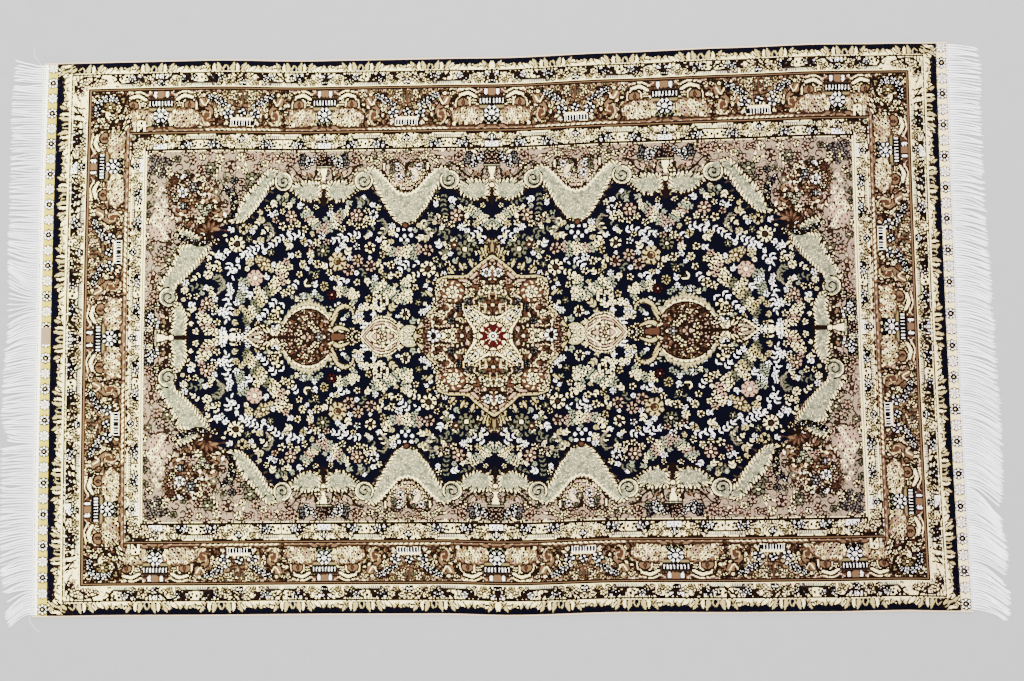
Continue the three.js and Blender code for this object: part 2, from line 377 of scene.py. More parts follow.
# The four bands of the border
def minor_unit(plan, half, low, high, tab):
    """One repeat of the ivory bands about a diamond flower; low is the band's side that carries it."""
    rise = high - low

    def t(q):
        return low + q * rise

    def both(q0, q1):
        return sorted((t(q0), t(q1)))

    flip = 1 if rise > 0 else -1
    for _ in plan.sides():
        # leafy clusters between the diamond and the cartouche
        for ds, q, r, silk in (
            (11, 0.5, 4.4, "ivory"), (19, 0.3, 4.2, "straw"), (24, 0.66, 4.0, "ivory"),
            (31, 0.34, 3.8, "ivory"),
        ):
            plan.flower(ds, t(q), r, silk, "cocoa", "sage", 5, ds)
        plan.stem([(8, t(0.8)), (11, t(0.93)), (17, t(0.93)), (25, t(0.88)), (32, t(0.66)), (36, t(0.3)),
            (42, t(0.22))], 1.1, "black")
        plan.stem([(8, t(0.1)), (16, t(0.04)), (26, t(0.1)), (35, t(0.08))], 0.9, "bark")
        for ds, q, turn in ((29, 0.9, -20), (14, 0.78, 60), (38, 0.16, 0)):
            plan.leaf(ds, t(q), 5, 1.8, turn * flip, "bark")
    for _ in plan.sides():
        # half of a cartouche: dark tapered leaf, white dark-edged blossoms, dots, and a bar below
        plan.shape(np.array([
            (half + 3, t(0.98)), (40, t(0.96)), (32, t(0.8)), (36, t(0.66)), (45, t(0.46)),
            (half + 3, t(0.42)),
        ]), ((-1.2, "cocoa"), (0, "ivory")))
        plan.leaf(30, t(0.62), 12, 4.4, 6, "black", None, "ivory")
        plan.leaf(34, t(0.88), 8, 2.2, -10, "bark")
        for ds, q, r in ((half - 15, 0.7, 5.0), (half - 23, 0.6, 3.4), (half - 24, 0.82, 2.4)):
            plan.flower(ds, t(q), r, "white", "black", "dove", 5, 1.0)
        for ds, q, r, silk in ((half - 7, 0.8, 1.5, "black"), (half - 5.4, 0.58, 1.4, "black"),
                (half, 0.7, 1.7, "bark"), (half - 9, 0.62, 1.1, "bark")):
            plan.dot(ds, t(q), r, (0, silk))
        plan.bar(half - 21, half + 1, *both(0.13, 0.33), "mint" if tab else "dove")
        for ds in np.arange(half - 19, half + 1, 3.0):
            plan.bar(ds, ds + 1.1, *both(0.15, 0.3), "ivory")
        plan.bar(half - 20, half + 1, *both(0.33, 0.38), "bark")
        plan.stem([(38, t(0.1)), (42, t(0.32)), (half - 17, t(0.4))], 1.1, "cocoa")
    if tab:
        plan.bar(-10.5, 10.5, *both(0.56, 0.96), "bark")
        plan.bar(-9.4, 9.4, *both(0.61, 0.92), "white")
        for ds, q in ((-5, 0.8), (0, 0.72), (5, 0.8), (0, 0.86), (-3, 0.68), (3, 0.68)):
            plan.dot(ds, t(q), 0.8, (0, "cocoa"))
    else:
        for ds, q, r in ((-5, 0.74, 3.0), (5, 0.74, 3.0), (0, 0.86, 2.8), (0, 0.64, 2.4)):
            plan.flower(ds, t(q), r, "ivory", "cocoa", "sage", 5, 1.57)
    plan.flower(0, t(0.33), 4.6, "white", "black", "ivory", 4, 0.0)
    plan.leaf(0, t(0.06), 3, 2.4, 90 * flip, "black")


def blossom_cloud(plan, outline, silks, seed):
    """A scalloped bank of ivory blossoms crowded together, so that only their dark eyes part them."""
    rng = np.random.default_rng(seed)
    side, plan.side = plan.side, 1
    outline = (np.array(outline, float) * (side, 1))[::side]
    plan.shape(outline, ((-1.2, "cocoa"), (0.0, "sand")), 1.4, 7.0)
    low, high = outline.min(0), outline.max(0)
    for j, t in enumerate(np.arange(low[1] + 3, high[1], 4.6)):
        for s in np.arange(low[0] + 3 + (j % 2) * 2.9, high[0], 5.8):
            s1, t1 = s + rng.uniform(-1, 1), t + rng.uniform(-0.7, 0.7)
            near = np.hypot(*(outline - (s1, t1)).T).min()
            box = plan.patch(s1 - 0.6, s1 + 0.6, t1 - 0.6, t1 + 0.6)[0]
            if near < 2.4 or not (plan.knots[box] == NUMBER["sand"]).all():
                continue
            silk = silks[rng.integers(len(silks))]
            plan.dot(s1, t1, 2.5, (0, silk))
            if rng.random() < 0.8:
                plan.dot(s1 + rng.uniform(-0.3, 0.3), t1, rng.choice((0.85, 1.25)),
                    (0, "black" if rng.random() < 0.7 else "cocoa"))
            else:
                plan.leaf(s1 - 1.5, t1, 4, 1.6, rng.uniform(0, 360), "cocoa")
    plan.side = side


def main_a(plan):
    """The urn repeat: a pale comb, arcs of white blossoms spread from it, and small flowers between."""
    for _ in plan.sides():
        for ds, t, r, silk in ((46, 310, 8, "sand"), (47, 302, 6, "rust"), (54, 322, 6, "sand")):
            plan.dot(ds, t, r, (0, silk))
        plan.stem([(40, 290), (47, 291), (53, 298), (51, 309), (44, 309), (43, 302), (47, 300)], 2.2,
            "straw", 1.2)
        plan.stem([(37, 291), (50, 287), (57, 297), (55, 312), (46, 316)], 1.5, "bark")
        plan.stem([(40, 299), (38, 310), (44, 318), (50, 326), (46, 333)], 1.9, "bark", 1.0)
        plan.stem([(60, 288), (62, 300), (58, 312), (60, 322)], 1.6, "bark")
        plan.stem([(42, 330), (50, 318), (56, 326)], 1.6, "ivory")
        for ds, t, r, silk in ((33, 301, 3.4, "cocoa"), (34, 311, 3.2, "ivory"), (41, 325, 2.8, "gold"),
                (52, 331, 2.6, "ivory"), (57, 306, 3.0, "gold"), (31, 316, 2.8, "ivory"),
                (48, 338, 2.4, "blush"), (62, 331, 2.8, "ivory"), (37, 288, 2.8, "gold")):
            plan.flower(ds, t, r, silk, "bark", "rust", 5, ds)
        for ds, t, silk, turn in ((30, 292, "rust", 70), (35, 300, "ivory", 100), (53, 290, "ivory", 60),
                (58, 300, "blush", 120), (52, 312, "ivory", 20), (28, 336, "sand", 10)):
            plan.leaf(ds, t, 7, 2.6, turn, silk, "bark")
        for ds, t, size in ((25, 320, 4.6), (19, 306, 7.4), (31, 323, 4.8), (36, 327, 4.4), (42, 329, 4.0),
                (17, 316, 3.0)):
            plan.flower(ds, t, size, "white", "black", "dove", 5, ds)
        for ds, t, r, silk in ((12, 333, 4.2, "ivory"), (10, 324, 3.4, "ivory"), (13, 313, 2.8, "straw"),
                (24, 334, 3.8, "straw"), (5, 328, 2.8, "sage"), (32, 336, 2.8, "blush"),
                (16, 327, 2.8, "ivory"), (4, 317, 2.6, "sand"), (17, 338, 2.2, "sage")):
            plan.flower(ds, t, r, silk, "cocoa", "olive", 5, ds)
    plan.stem([(0, 318), (0, 327), (0, 337)], 2.2, "rust")
    plan.flower(0, 308, 5.4, "white", "black", "white", 4)
    plan.dot(0, 308, 1.5, (0, "black"))
    plan.profile(289.5, 301.5, (289, 291, 296, 299, 301.5), (17, 20, 20.5, 20.5, 17),
        ((0, "cocoa"), (1.0, "ivory")))
    plan.bar(-19, 19, 291, 297.6, "white")
    for ds in np.arange(-17, 18, 3.8):
        plan.bar(ds - 0.9, ds + 0.9, 291, 296.8, "black")
    for _ in plan.sides():
        plan.leaf(24, 290, 9, 4, 130, "ivory", "cocoa", "rust")
    plan.plume([(-58, 284.5), (-30, 287), (-15, 284), (0, 286), (15, 284), (30, 287), (58, 284.5)],
        (3, 5, 4.4, 5, 4.4, 5, 3), "sand", "cocoa")
    for ds in np.arange(-56, 55, 7.0):
        plan.leaf(ds, 283.4, 8, 2.6, 24, "ivory")
    for ds in np.arange(-50, 55, 11.0):
        plan.leaf(ds, 286.5, 8, 1.8, 160, "cocoa")


def main_b(plan, seed):
    """The rosette repeat: a bead comb over a white rosette, and banks of small ivory blossoms beside it."""
    for hand in plan.sides():
        plan.plume([(5, 333), (18, 333), (28, 336)], (5, 4, 3), "rust", "bark")
        plan.stem([(14, 336), (24, 331), (34, 335)], 1.6, "blush")
        plan.plume([(22, 326), (32, 331), (44, 329)], (4, 5, 3), "ivory", "bark")
        plan.stem([(18, 331), (30, 337), (46, 335), (56, 338)], 1.5, "ivory")
        plan.stem([(30, 326), (50, 326), (52, 316), (60, 312)], 1.8, "bark")
        plan.shape(np.array([(33, 314.5), (33, 321), (39, 324.5), (46, 321), (46, 314.5)]),
            ((-1.4, "bark"), (0, "sand")))
        plan.leaf(39, 315, 7, 3.4, 90, "rust", "bark")
        plan.stem([(30, 313), (31, 323), (39, 328), (48, 323), (49, 313)], 1.2, "ivory")
        plan.flower(25, 320, 3.8, "ivory", "bark", "gold", 5)
        plan.flower(53, 331, 3.4, "ivory", "cocoa", "gold", 5)
        plan.flower(50, 337, 2.4, "blush", "cocoa", "rust", 5)
        plan.bar(5, 11.4, 328.0, 338.5, "bark")
        plan.dot(8.2, 335, 2.4, (0, "white"))
        plan.dot(8.2, 331.4, 2.5, (0, "white"))
        plan.bar(3, 21, 309.5, 315.8, "olive")
        plan.bar(3, 20, 312, 315, "gold")
        blossom_cloud(plan, [(2, 290.5), (2, 299), (14, 309), (24, 313.5), (36, 313), (48, 310.5),
            (56, 303), (54, 294), (44, 289.5), (28, 289), (14, 288.5)],
            ("ivory", "straw", "ivory", "blush", "straw", "ivory"), seed + hand)
        plan.plume([(0, 284.6), (14, 287), (26, 284.2), (44, 284.5), (58, 284.5)], (5, 5, 4, 4, 3), "sand",
            "cocoa")
        for ds in (6, 16, 30, 42, 52):
            plan.leaf(ds, 283, 7, 2.0, 20, "blush")
        for ds in (11, 24, 36, 48):
            plan.leaf(ds, 286, 7, 1.8, 160, "cocoa")
    plan.bar(-4.6, 4.6, 328, 338.5, "sand")
    plan.bar(-20.5, 20.5, 325.6, 327.6, "cocoa")
    plan.bar(-17.4, 17.4, 316.2, 325.8, "black")
    for ds in np.arange(-15.2, 15.6, 4.35):
        plan.bar(ds - 1.25, ds + 1.25, 317.8, 324.2, "white")
        plan.dot(ds, 319, 1.6, (0, "white"))
    plan.flower(0, 304.6, 10.5, "white", "black", "white", 8, 0.39)
    plan.dot(0, 304.6, 5.0, (0, "black"), (1.1, "white"))
    for ds, t in ((-1.6, 303.4), (1.6, 303.4), (0, 306.4)):
        plan.dot(ds, t, 0.75, (0, "plum"))
    for ds in (-8.5, 0, 8.5):
        plan.dot(ds, 293.6, 3.4, (0, "black"), (1.1, "mint"), (2.5, "black"))


def draw_borders(plan):
    """The four bands as nested frames, and then the repeats of each along both sides."""
    across = np.maximum(plan.x_as_t[None, :], plan.y[:, None])
    knots = plan.knots
    for number, silk in ((INNER, "ivory"), (MAIN, "sand"), (OUTER, "ivory"), (GUARD, "night")):
        knots[across > BANDS_LONG[number]] = NUMBER[silk]
    sides = [(False, LONG_MIDDLES, HALF_LONG), (True, SHORT_MIDDLES, 350)]
    # a ground of small tan and rust flowers and leaves, before the repeats
    rng = np.random.default_rng(4)
    for turned, _, long in sides:
        plan.stand(0, 0, turned)
        for s in np.arange(3, long - 40, 5.4):
            for t0 in np.arange(284, 338, 6.6):
                s1, t1 = s + rng.uniform(-2, 2), t0 + rng.uniform(-2.5, 2.5)
                silk = ("rust", "ivory", "blush", "ivory", "straw", "sand", "ivory", "gold",
                    "sand")[rng.integers(9)]
                if rng.random() < 0.55:
                    plan.leaf(s1, t1, rng.uniform(5, 10), rng.uniform(2.2, 3.6), rng.uniform(0, 360), silk,
                        "bark" if rng.random() < 0.7 else None)
                else:
                    plan.flower(s1, t1, rng.uniform(2.2, 3.6), silk, ("bark", "cocoa")[rng.integers(2)],
                        "rust", 5, rng.uniform(0, 6))
        for low, high in ((258.5, 279), (342, 361.5)):
            for s in np.arange(3, long + 20, 6.6):
                for t0 in np.arange(low + 2, high, 6.4):
                    s1, t1 = s + rng.uniform(-1.8, 1.8), t0 + rng.uniform(-1.6, 1.6)
                    plan.leaf(s1 + 2, t1, 5, 1.4, rng.uniform(0, 360), ("cocoa", "sage", "dove",
                        "rose_sand", "sand")[rng.integers(5)])
    for turned, middles, _ in sides:
        for k, middle in enumerate(middles):
            plan.stand(middle, 0, turned)
            if k % 2:
                main_a(plan)
            else:
                main_b(plan, 11 + 2 * k)
            half = min(abs(m - middle) / 2 for m in middles if m != middle)
            minor_unit(plan, half, 341.5, 362.5, k % 2 == 0)
            minor_unit(plan, half, 279.6, 257.6, k % 2 == 0)
    draw_corner(plan)
    draw_guard(plan)
    for t, silk, width in (
        (257.2, "bark", 0.62), (255.6, "ivory", 0.9), (258.7, "ivory", 0.8), (279.6, "bark", 0.55),
        (281.4, "sand", 0.9), (283.0, "bark", 0.5),
        (338.6, "bark", 0.5), (340.2, "sand", 0.9), (341.8, "bark", 0.62), (343.2, "ivory", 0.8),
        (361.4, "ivory", 0.8), (363.0, "bark", 0.62), (364.8, "ivory", 0.9),
    ):
        knots[np.abs(across - t) < width] = NUMBER[silk]


def draw_corner(plan):
    """The corner of the main band, and the turn of the two ivory bands."""
    plan.stand(538, 0)
    for s, t, r, silk in ((8, 322, 12, "rust"), (-8, 310, 12, "sand"), (10, 300, 12, "rust"),
            (-14, 326, 10, "sand")):
        plan.dot(s, t, r, (0, silk))
    rng = np.random.default_rng(9)
    for _ in range(90):
        s, t = rng.uniform(-26, 23), rng.uniform(285, 337)
        silk = ("rust", "ivory", "blush", "ivory", "gold", "ivory")[rng.integers(6)]
        plan.leaf(s, t, rng.uniform(5, 10), 3.0, rng.uniform(0, 360), silk, "bark")
    for s, t, r in ((-8, 327, 4.2), (-1, 329, 4.8), (7, 329, 5), (14, 324, 5), (17, 316, 4.8),
            (17, 308, 4.2)):
        plan.flower(s, t, r, "white", "black", "dove", 5, s)
    plan.flower(0, 317, 7.5, "gold", "bark", "ivory", 8, 0.2)
    plan.leaf(-2, 300, 14, 8, 60, "ivory", "bark", "rust")
    for s, t in ((-12, 316), (-4, 304), (10, 300), (4, 292), (-16, 304)):
        plan.flower(s, t, 4, "ivory", "bark", "brick", 5, s)
    for s0, t0 in ((574, 350), (497, 268)):
        plan.stand(s0, 0)
        for s, t, r in ((-12, t0, 4.4), (-3, t0 + 3, 4.8), (4, t0 - 4, 4.6), (4, t0 - 13, 4.2),
                (-20, t0 - 2, 4), (-6, t0 - 6, 3.4), (-28, t0 + 2, 3.4)):
            plan.flower(s, t, r, "ivory", "cocoa", "rose_sand", 5, s)
        plan.stem([(-26, t0 + 6), (-12, t0 + 9), (2, t0 + 8), (9, t0 - 2), (9, t0 - 16), (5, t0 - 24)], 1.6,
            "bark", 1.0)


def draw_guard(plan):
    """The outer guard: cream half-flowers, by turns broad and low, stand up from the line into the dark."""
    for turned, first, last, period in ((False, -14.0, 640.0, 98.6), (True, 0.0, 400.0, 98.0)):
        for middle in np.arange(first, last, period):
            plan.stand(middle, 363.4, turned)
            plan.bar(-period / 2 - 1, period / 2 + 1, 0, 4.2, "ivory")
            # a broad clump of two crowns
            plan.profile(-1, 9, (0, 3, 5, 7, 9), (38, 33, 27, 20, 6), ((0, "straw"),))
            for _ in plan.sides():
                for ds, turn, length, width in ((2, 96, 11, 6), (8, 78, 15, 7), (15, 88, 13, 6),
                        (20, 62, 16, 7), (27, 70, 12, 6), (31, 38, 14, 6)):
                    plan.leaf(ds, 0.5, length + 1.5, width + 1.6, turn, "night")
                    plan.leaf(ds, 0.5, length, width, turn, ("straw", "ivory")[ds % 2], "bark")
                for ds, turn, length in ((5, 90, 8), (12, 78, 9), (19, 66, 9), (26, 52, 8)):
                    plan.leaf(ds, 2.0, length, 1.5, turn, ("bark", "cocoa")[ds % 2])
            plan.leaf(0, 1, 8, 5, 90, "night")
            # a low palmette half way to the next
            plan.stand(middle + period / 2, 363.4, turned)
            for _ in plan.sides():
                for ds, turn, length, width in ((15, 22, 11, 5.4), (8, 46, 12, 6), (2, 74, 11, 6)):
                    plan.leaf(ds, 0.5, length + 1, width + 1.4, turn, "night")
                    plan.leaf(ds, 0.5, length, width, turn, ("straw", "ivory")[ds % 2], "bark")
                plan.dot(9, 2.5, 1.1, (0, "cocoa"))
            plan.profile(-1, 7.5, (0, 2.5, 5, 7.5), (24, 17, 9, 1), ((0, "ivory"),))
            plan.dot(0, 3.6, 3.2, (0, "bark"), (1.1, "straw"))
    across = np.maximum(plan.x_as_t[None, :], plan.y[:, None])
    plan.knots[across > 379.9] = NUMBER["night"]


# The field inside them
SWAG = 117.5  # half the width of one swag of the ribbon


def draw_spandrels(plan):
    """The rosy ground outside the ribbon, strewn with pale outlined flowers, leaves and dark curls."""
    rng = np.random.default_rng(21)
    plan.stand(0, 0)
    for x in np.arange(5, 488, 10.4):
        for y in np.arange(5, 256, 10.4):
            if y < 186 and x < 376:
                continue
            s, t = x + rng.uniform(-2.8, 2.8), y + rng.uniform(-2.8, 2.8)
            silk = ("ivory", "ribbon", "ivory", "blush", "rose_sand", "sage")[rng.integers(6)]
            way = rng.uniform(0, 6.3)
            kind = rng.random()
            if kind < 0.45:
                plan.flower(s, t, rng.uniform(4.0, 5.6), silk, "bark", "cocoa", 5, way)
            elif kind < 0.65:
                plan.leaf(s - 4 * np.cos(way), t - 4 * np.sin(way), rng.uniform(7, 10), 3.6,
                    np.degrees(way), silk, "cocoa")
            else:
                turn = way + np.linspace(0, 4.8, 9)
                size = np.linspace(6.4, 2.2, 9)
                silk = ("bark", "olive", "sage")[rng.integers(3)]
                plan.stem(np.stack([s + size * np.cos(turn), t + size * np.sin(turn)], 1), 1.2, silk)


def vase(plan, foot):
    """A white vase on the band's side of the ribbon, with a table bar, and a bouquet of dark-edged blossoms
    each side."""
    for _ in plan.sides():
        plan.leaf(16, foot + 3, 12, 5, 40, "sand", "bark")
        plan.leaf(26, foot + 6, 12, 5, 50, "blush", "bark")
        plan.stem([(12, foot + 14), (14, foot + 4), (24, foot + 1), (36, foot + 6), (47, foot + 18),
            (56, foot + 21)], 3.0, "bark", 1.6)
        plan.stem([(12, foot + 16), (20, foot + 16), (30, foot + 12)], 1.6, "blush")
        plan.bar(46, 48.5, foot + 4, foot + 10, "ivory")
        for ds, dt, r in ((18, 26, 4.6), (26, 29, 5.2), (24, 20, 4.2), (33, 25, 4.6), (31, 33, 4.2),
                (12, 32, 4.0)):
            plan.flower(ds, foot + dt, r, ("white", "dove")[ds % 2], "black", "dove", 5, ds)
        for ds, dt in ((44, 30), (50, 26), (46, 36)):
            plan.flower(ds, foot + dt, 5.2, "blush", "bark", "brick", 6, ds)
    plan.profile(foot, foot + 17, (foot, foot + 2, foot + 5, foot + 9, foot + 13, foot + 17),
        (6.5, 4, 3.2, 5.4, 5.6, 7), ((0, "bark"), (1.2, "ivory")))
    plan.bar(-12, 12, foot + 17, foot + 21.4, "bark")
    plan.bar(-11, 11, foot + 18, foot + 20.2, "ribbon")
    for ds, dt in ((-7, 26), (0, 27), (7, 26), (-4, 32), (4, 32), (0, 36)):
        plan.flower(ds, foot + dt, 4.0, "blush", "black", "brick", 5, ds)


def heart_cartouche(plan):
    """A flowered shield that hangs in the mouth of each swag, leafy below."""
    shield = [(0, 199), (12, 202), (20, 210), (27, 221), (29, 231), (20, 239), (8, 240), (0, 234),
        (-8, 240), (-20, 239), (-29, 231), (-27, 221), (-20, 210), (-12, 202)]
    plan.shape(np.array(shield, float), ((-1.2, "bark"), (0, "blush")), 0.8, 5)
    plan.scatter("blush", (-26, 26, 200, 238), 700, 5, ("ivory", "ivory", "white", "sage"), "bark",
        (2.4, 5.0), 0.3)
    for _ in plan.sides():
        plan.stem([(0, 224), (2, 232), (9, 238), (18, 238), (27, 243)], 2.2, "bark", 1.2)
        plan.stem([(30, 240), (33, 232), (33, 224)], 1.5, "bark")
        plan.stem([(27, 241), (29, 232), (27, 226)], 1.5, "bark")
        plan.bar(29.4, 31.6, 227, 237, "ivory")
        for ds, t, turn in ((4, 200, 250), (9, 202, 230), (14, 205, 210), (7, 206, 20), (14, 210, 30),
                (3, 208, 60)):
            plan.leaf(ds, t, 6, 2.0, turn, ("bark", "olive")[ds % 2])
        for ds, t in ((18, 246), (27, 249), (36, 245), (41, 238)):
            plan.flower(ds, t, 4.2, "ivory", "cocoa", "sage", 5, ds)
    plan.leaf(0, 225, 11, 3.4, 90, "bark")
    for ds in (-13, 0, 13):
        plan.flower(ds, 247, 4.4, "blush", "cocoa", "sage", 6, ds)


def draw_ribbon(plan):
    """The dark field inside the ribbon's line, and then the ribbon in swags about it."""
    edge = [(0, 192), (30, 194), (50, 205), (62, 214), (72, 200), (88, 180), (104, 160), (117.5, 158)]
    edge += [(235 - x, y) for x, y in edge[-2::-1]]
    edge += [(263, 194), (285, 205), (297, 214), (316, 200), (334, 178), (352, 162), (372, 156), (392, 148)]
    edge += [(394, 122), (410, 100), (432, 78), (446, 62), (438, 46), (430, 26), (436, 8), (440, 0)]
    edge = np.array(edge, float)
    where, s, t = plan.patch(0, 450, 0, 216)
    inside = np.zeros(s.shape, bool)
    ring = np.vstack([edge, [(0, 0)]])
    for (x0, y0), (x1, y1) in zip(ring, np.roll(ring, -1, 0)):
        if y0 != y1:
            inside ^= ((y0 > t) != (y1 > t)) & (s < (x1 - x0) * (t - y0) / (y1 - y0) + x0)
    plan.knots[where][inside] = NUMBER["night"]
    plan.field = np.zeros(plan.knots.shape, bool)
    plan.field[where] = inside


def scroll(plan, s0, t0, hand, lean=0.0):
    """The curled end of the ribbon: a pale lobe with a dark rim, and a dark line that winds inwards."""
    plan.dot(s0, t0, 14, (0, "bark"), (1.3, "ivory"), (3.2, "ribbon"))
    turn = np.linspace(0, 2.9 * np.pi, 30)
    out = np.linspace(10.4, 1.2, 30)
    way = 2.6 + lean + turn
    plan.stem(np.stack([s0 + hand * out * np.cos(way), t0 + out * np.sin(way)], 1), 1.5, "bark")
    way = 2.0 + lean
    plan.dot(s0 + hand * 10 * np.cos(way), t0 + 10 * np.sin(way), 5, (0, "ribbon"))


def ribbon(plan, outline):
    """One length of the ribbon: a dark serrated line, a pale edge and a grey-green middle, with short dark
    strokes that run in from its rim."""
    outline = np.array(outline, float)
    plan.shape(outline, ((-1.6, "bark"), (0, "ivory"), (3.4, "ribbon")), 1.5, 5.2)
    ring = np.vstack([outline, outline[:1]])
    middle = outline.mean(0)
    along = np.concatenate([[0], np.cumsum(np.hypot(*np.diff(ring, axis=0).T))])
    for k, at in enumerate(np.arange(2.0, along[-1], 5.2)):
        s, t = np.interp(at, along, ring[:, 0]), np.interp(at, along, ring[:, 1])
        s1, t1 = np.interp(at + 2, along, ring[:, 0]), np.interp(at + 2, along, ring[:, 1])
        way = np.arctan2(t1 - t, s1 - s)
        on_left = (s1 - s) * (middle[1] - t) > (t1 - t) * (middle[0] - s)
        turn = way + 0.9 if on_left else way - 0.9
        plan.leaf(s - 2 * np.cos(turn), t - 2 * np.sin(turn), (7, 10)[k % 2], 1.5, np.degrees(turn),
            ("bark", "olive")[k % 2])


def lay_ribbon(plan):
    """The ribbon in swags about the field: crescents, deep loops between scrolls, and its corner arms."""
    crescent = [(113, 192), (107, 187), (97, 184), (86, 187), (74, 195), (66, 203), (72, 209), (84, 214),
        (96, 214), (107, 213), (113, 210)]
    for middle, mirrored in ((SWAG, False), (SWAG, True), (3 * SWAG, True)):
        plan.stand(middle, 0, False, mirrored)
        ribbon(plan, crescent)
        for ds, t, turn in ((104, 190, 250), (92, 189, 262), (80, 196, 240), (74, 202, 230)):
            plan.leaf(ds, t, 7, 2.0, turn, "bark")
        for ds, t, turn in ((102, 214, 120), (92, 215, 100), (80, 213, 130)):
            plan.leaf(ds, t, 6, 2.0, turn, "ribbon", "bark")
        plan.stem([(118, 182), (117.4, 192), (117.5, 203)], 6.0, "bark", 3.0)
        plan.dot(117.5, 206, 4.6, (0, "bark"), (1.3, "ivory"))
        plan.stem([(112, 184), (110, 190), (113, 196)], 1.4, "gold")
    plan.stand(SWAG, 0)
    loop = [(-57, 214), (-61, 224), (-55, 231), (-44, 231), (-33, 222), (-21, 209), (-11, 199), (0, 196)]
    loop += [(-s, t) for s, t in loop[-2::-1]] + [(47, 208), (39, 196), (31, 181), (22, 167), (15, 158),
        (6, 152.5)]
    loop += [(-6, 152.5), (-15, 158), (-22, 167), (-31, 181), (-39, 196), (-47, 208)]
    ribbon(plan, loop)
    for _ in plan.sides():
        for ds, t, turn in ((40, 196, 10), (33, 186, 0), (25, 176, -8), (17, 166, -20), (10, 157, -50)):
            plan.leaf(ds, t, 7, 2.2, turn, ("olive", "bark")[t % 2])
    for hand in (-1, 1):
        scroll(plan, hand * 60, 213, hand)
    plan.dot(0, 151, 4.6, (0, "bark"), (1.2, "rust"))
    heart_cartouche(plan)
    plan.stand(0, 0)
    slant = [(308, 214), (302, 224), (312, 231), (322, 226), (335, 211), (347, 198), (356, 186), (361, 174),
        (368, 167), (378, 164), (368, 156), (352, 158), (337, 173), (326, 189), (317, 204)]
    ribbon(plan, slant)
    for s, t, turn in ((316, 200, 200), (323, 188, 195), (332, 177, 205), (342, 166, 215), (352, 158, 240),
            (362, 154, 255)):
        plan.leaf(s, t, 7, 2.2, turn, ("olive", "bark")[t % 2])
    for s, t, turn in ((326, 224, 40), (338, 211, 30), (349, 200, 30), (358, 187, 20)):
        plan.leaf(s, t, 7, 2.4, turn, "ribbon", "bark")
    plan.stand(2 * SWAG, 0)
    scroll(plan, SWAG - 57, 213, -1)
    plan.stand(0, 0)
    plan.blossoms([(369, 166), (366, 176), (368, 187), (374, 198), (382, 207)], 3.6,
        ("dove", "white", "ivory"), "black", "plum", 1, 3)
    plan.blossoms([(364, 178), (364, 190), (370, 203)], 3.0, ("ivory", "dove"), "black", "sage", 1, 7)
    arm = [(398, 122), (396, 134), (410, 138), (426, 146), (440, 150), (436, 138), (426, 128), (438, 124),
        (442, 112), (452, 93), (462, 78), (467, 64), (456, 58), (446, 64), (438, 74), (425, 86), (410, 105)]
    ribbon(plan, arm)
    for s, t, turn in ((400, 116, 215), (408, 106, 210), (417, 95, 215), (427, 84, 215), (437, 74, 225)):
        plan.leaf(s, t, 7, 2.2, turn, ("olive", "bark")[t % 2])
    for s, t, turn in ((444, 116, 40), (451, 100, 30), (460, 86, 25), (467, 72, 15)):
        plan.leaf(s, t, 6, 2.2, turn, "ribbon", "bark")
    plan.blossoms([(400, 130), (412, 128), (424, 131), (434, 136), (444, 141)], 3.4,
        ("dove", "white", "ivory"), "black", "plum", 1, 4)
    scroll(plan, 452, 55, 1, 0.0)
    end = [(430, -6), (446, -6), (449, 10), (445, 26), (447, 40), (438, 48), (431, 40), (426, 26),
        (427, 10)]
    ribbon(plan, end)
    for s, t, turn in ((427, 36, 190), (425, 26, 180), (426, 14, 175)):
        plan.leaf(s, t, 6, 2.2, turn, "bark")
    plan.bar(424, 444, -1, 2.6, "bark")
    plan.dot(448, 0, 4.4, (0, "bark"), (1.3, "ivory"))


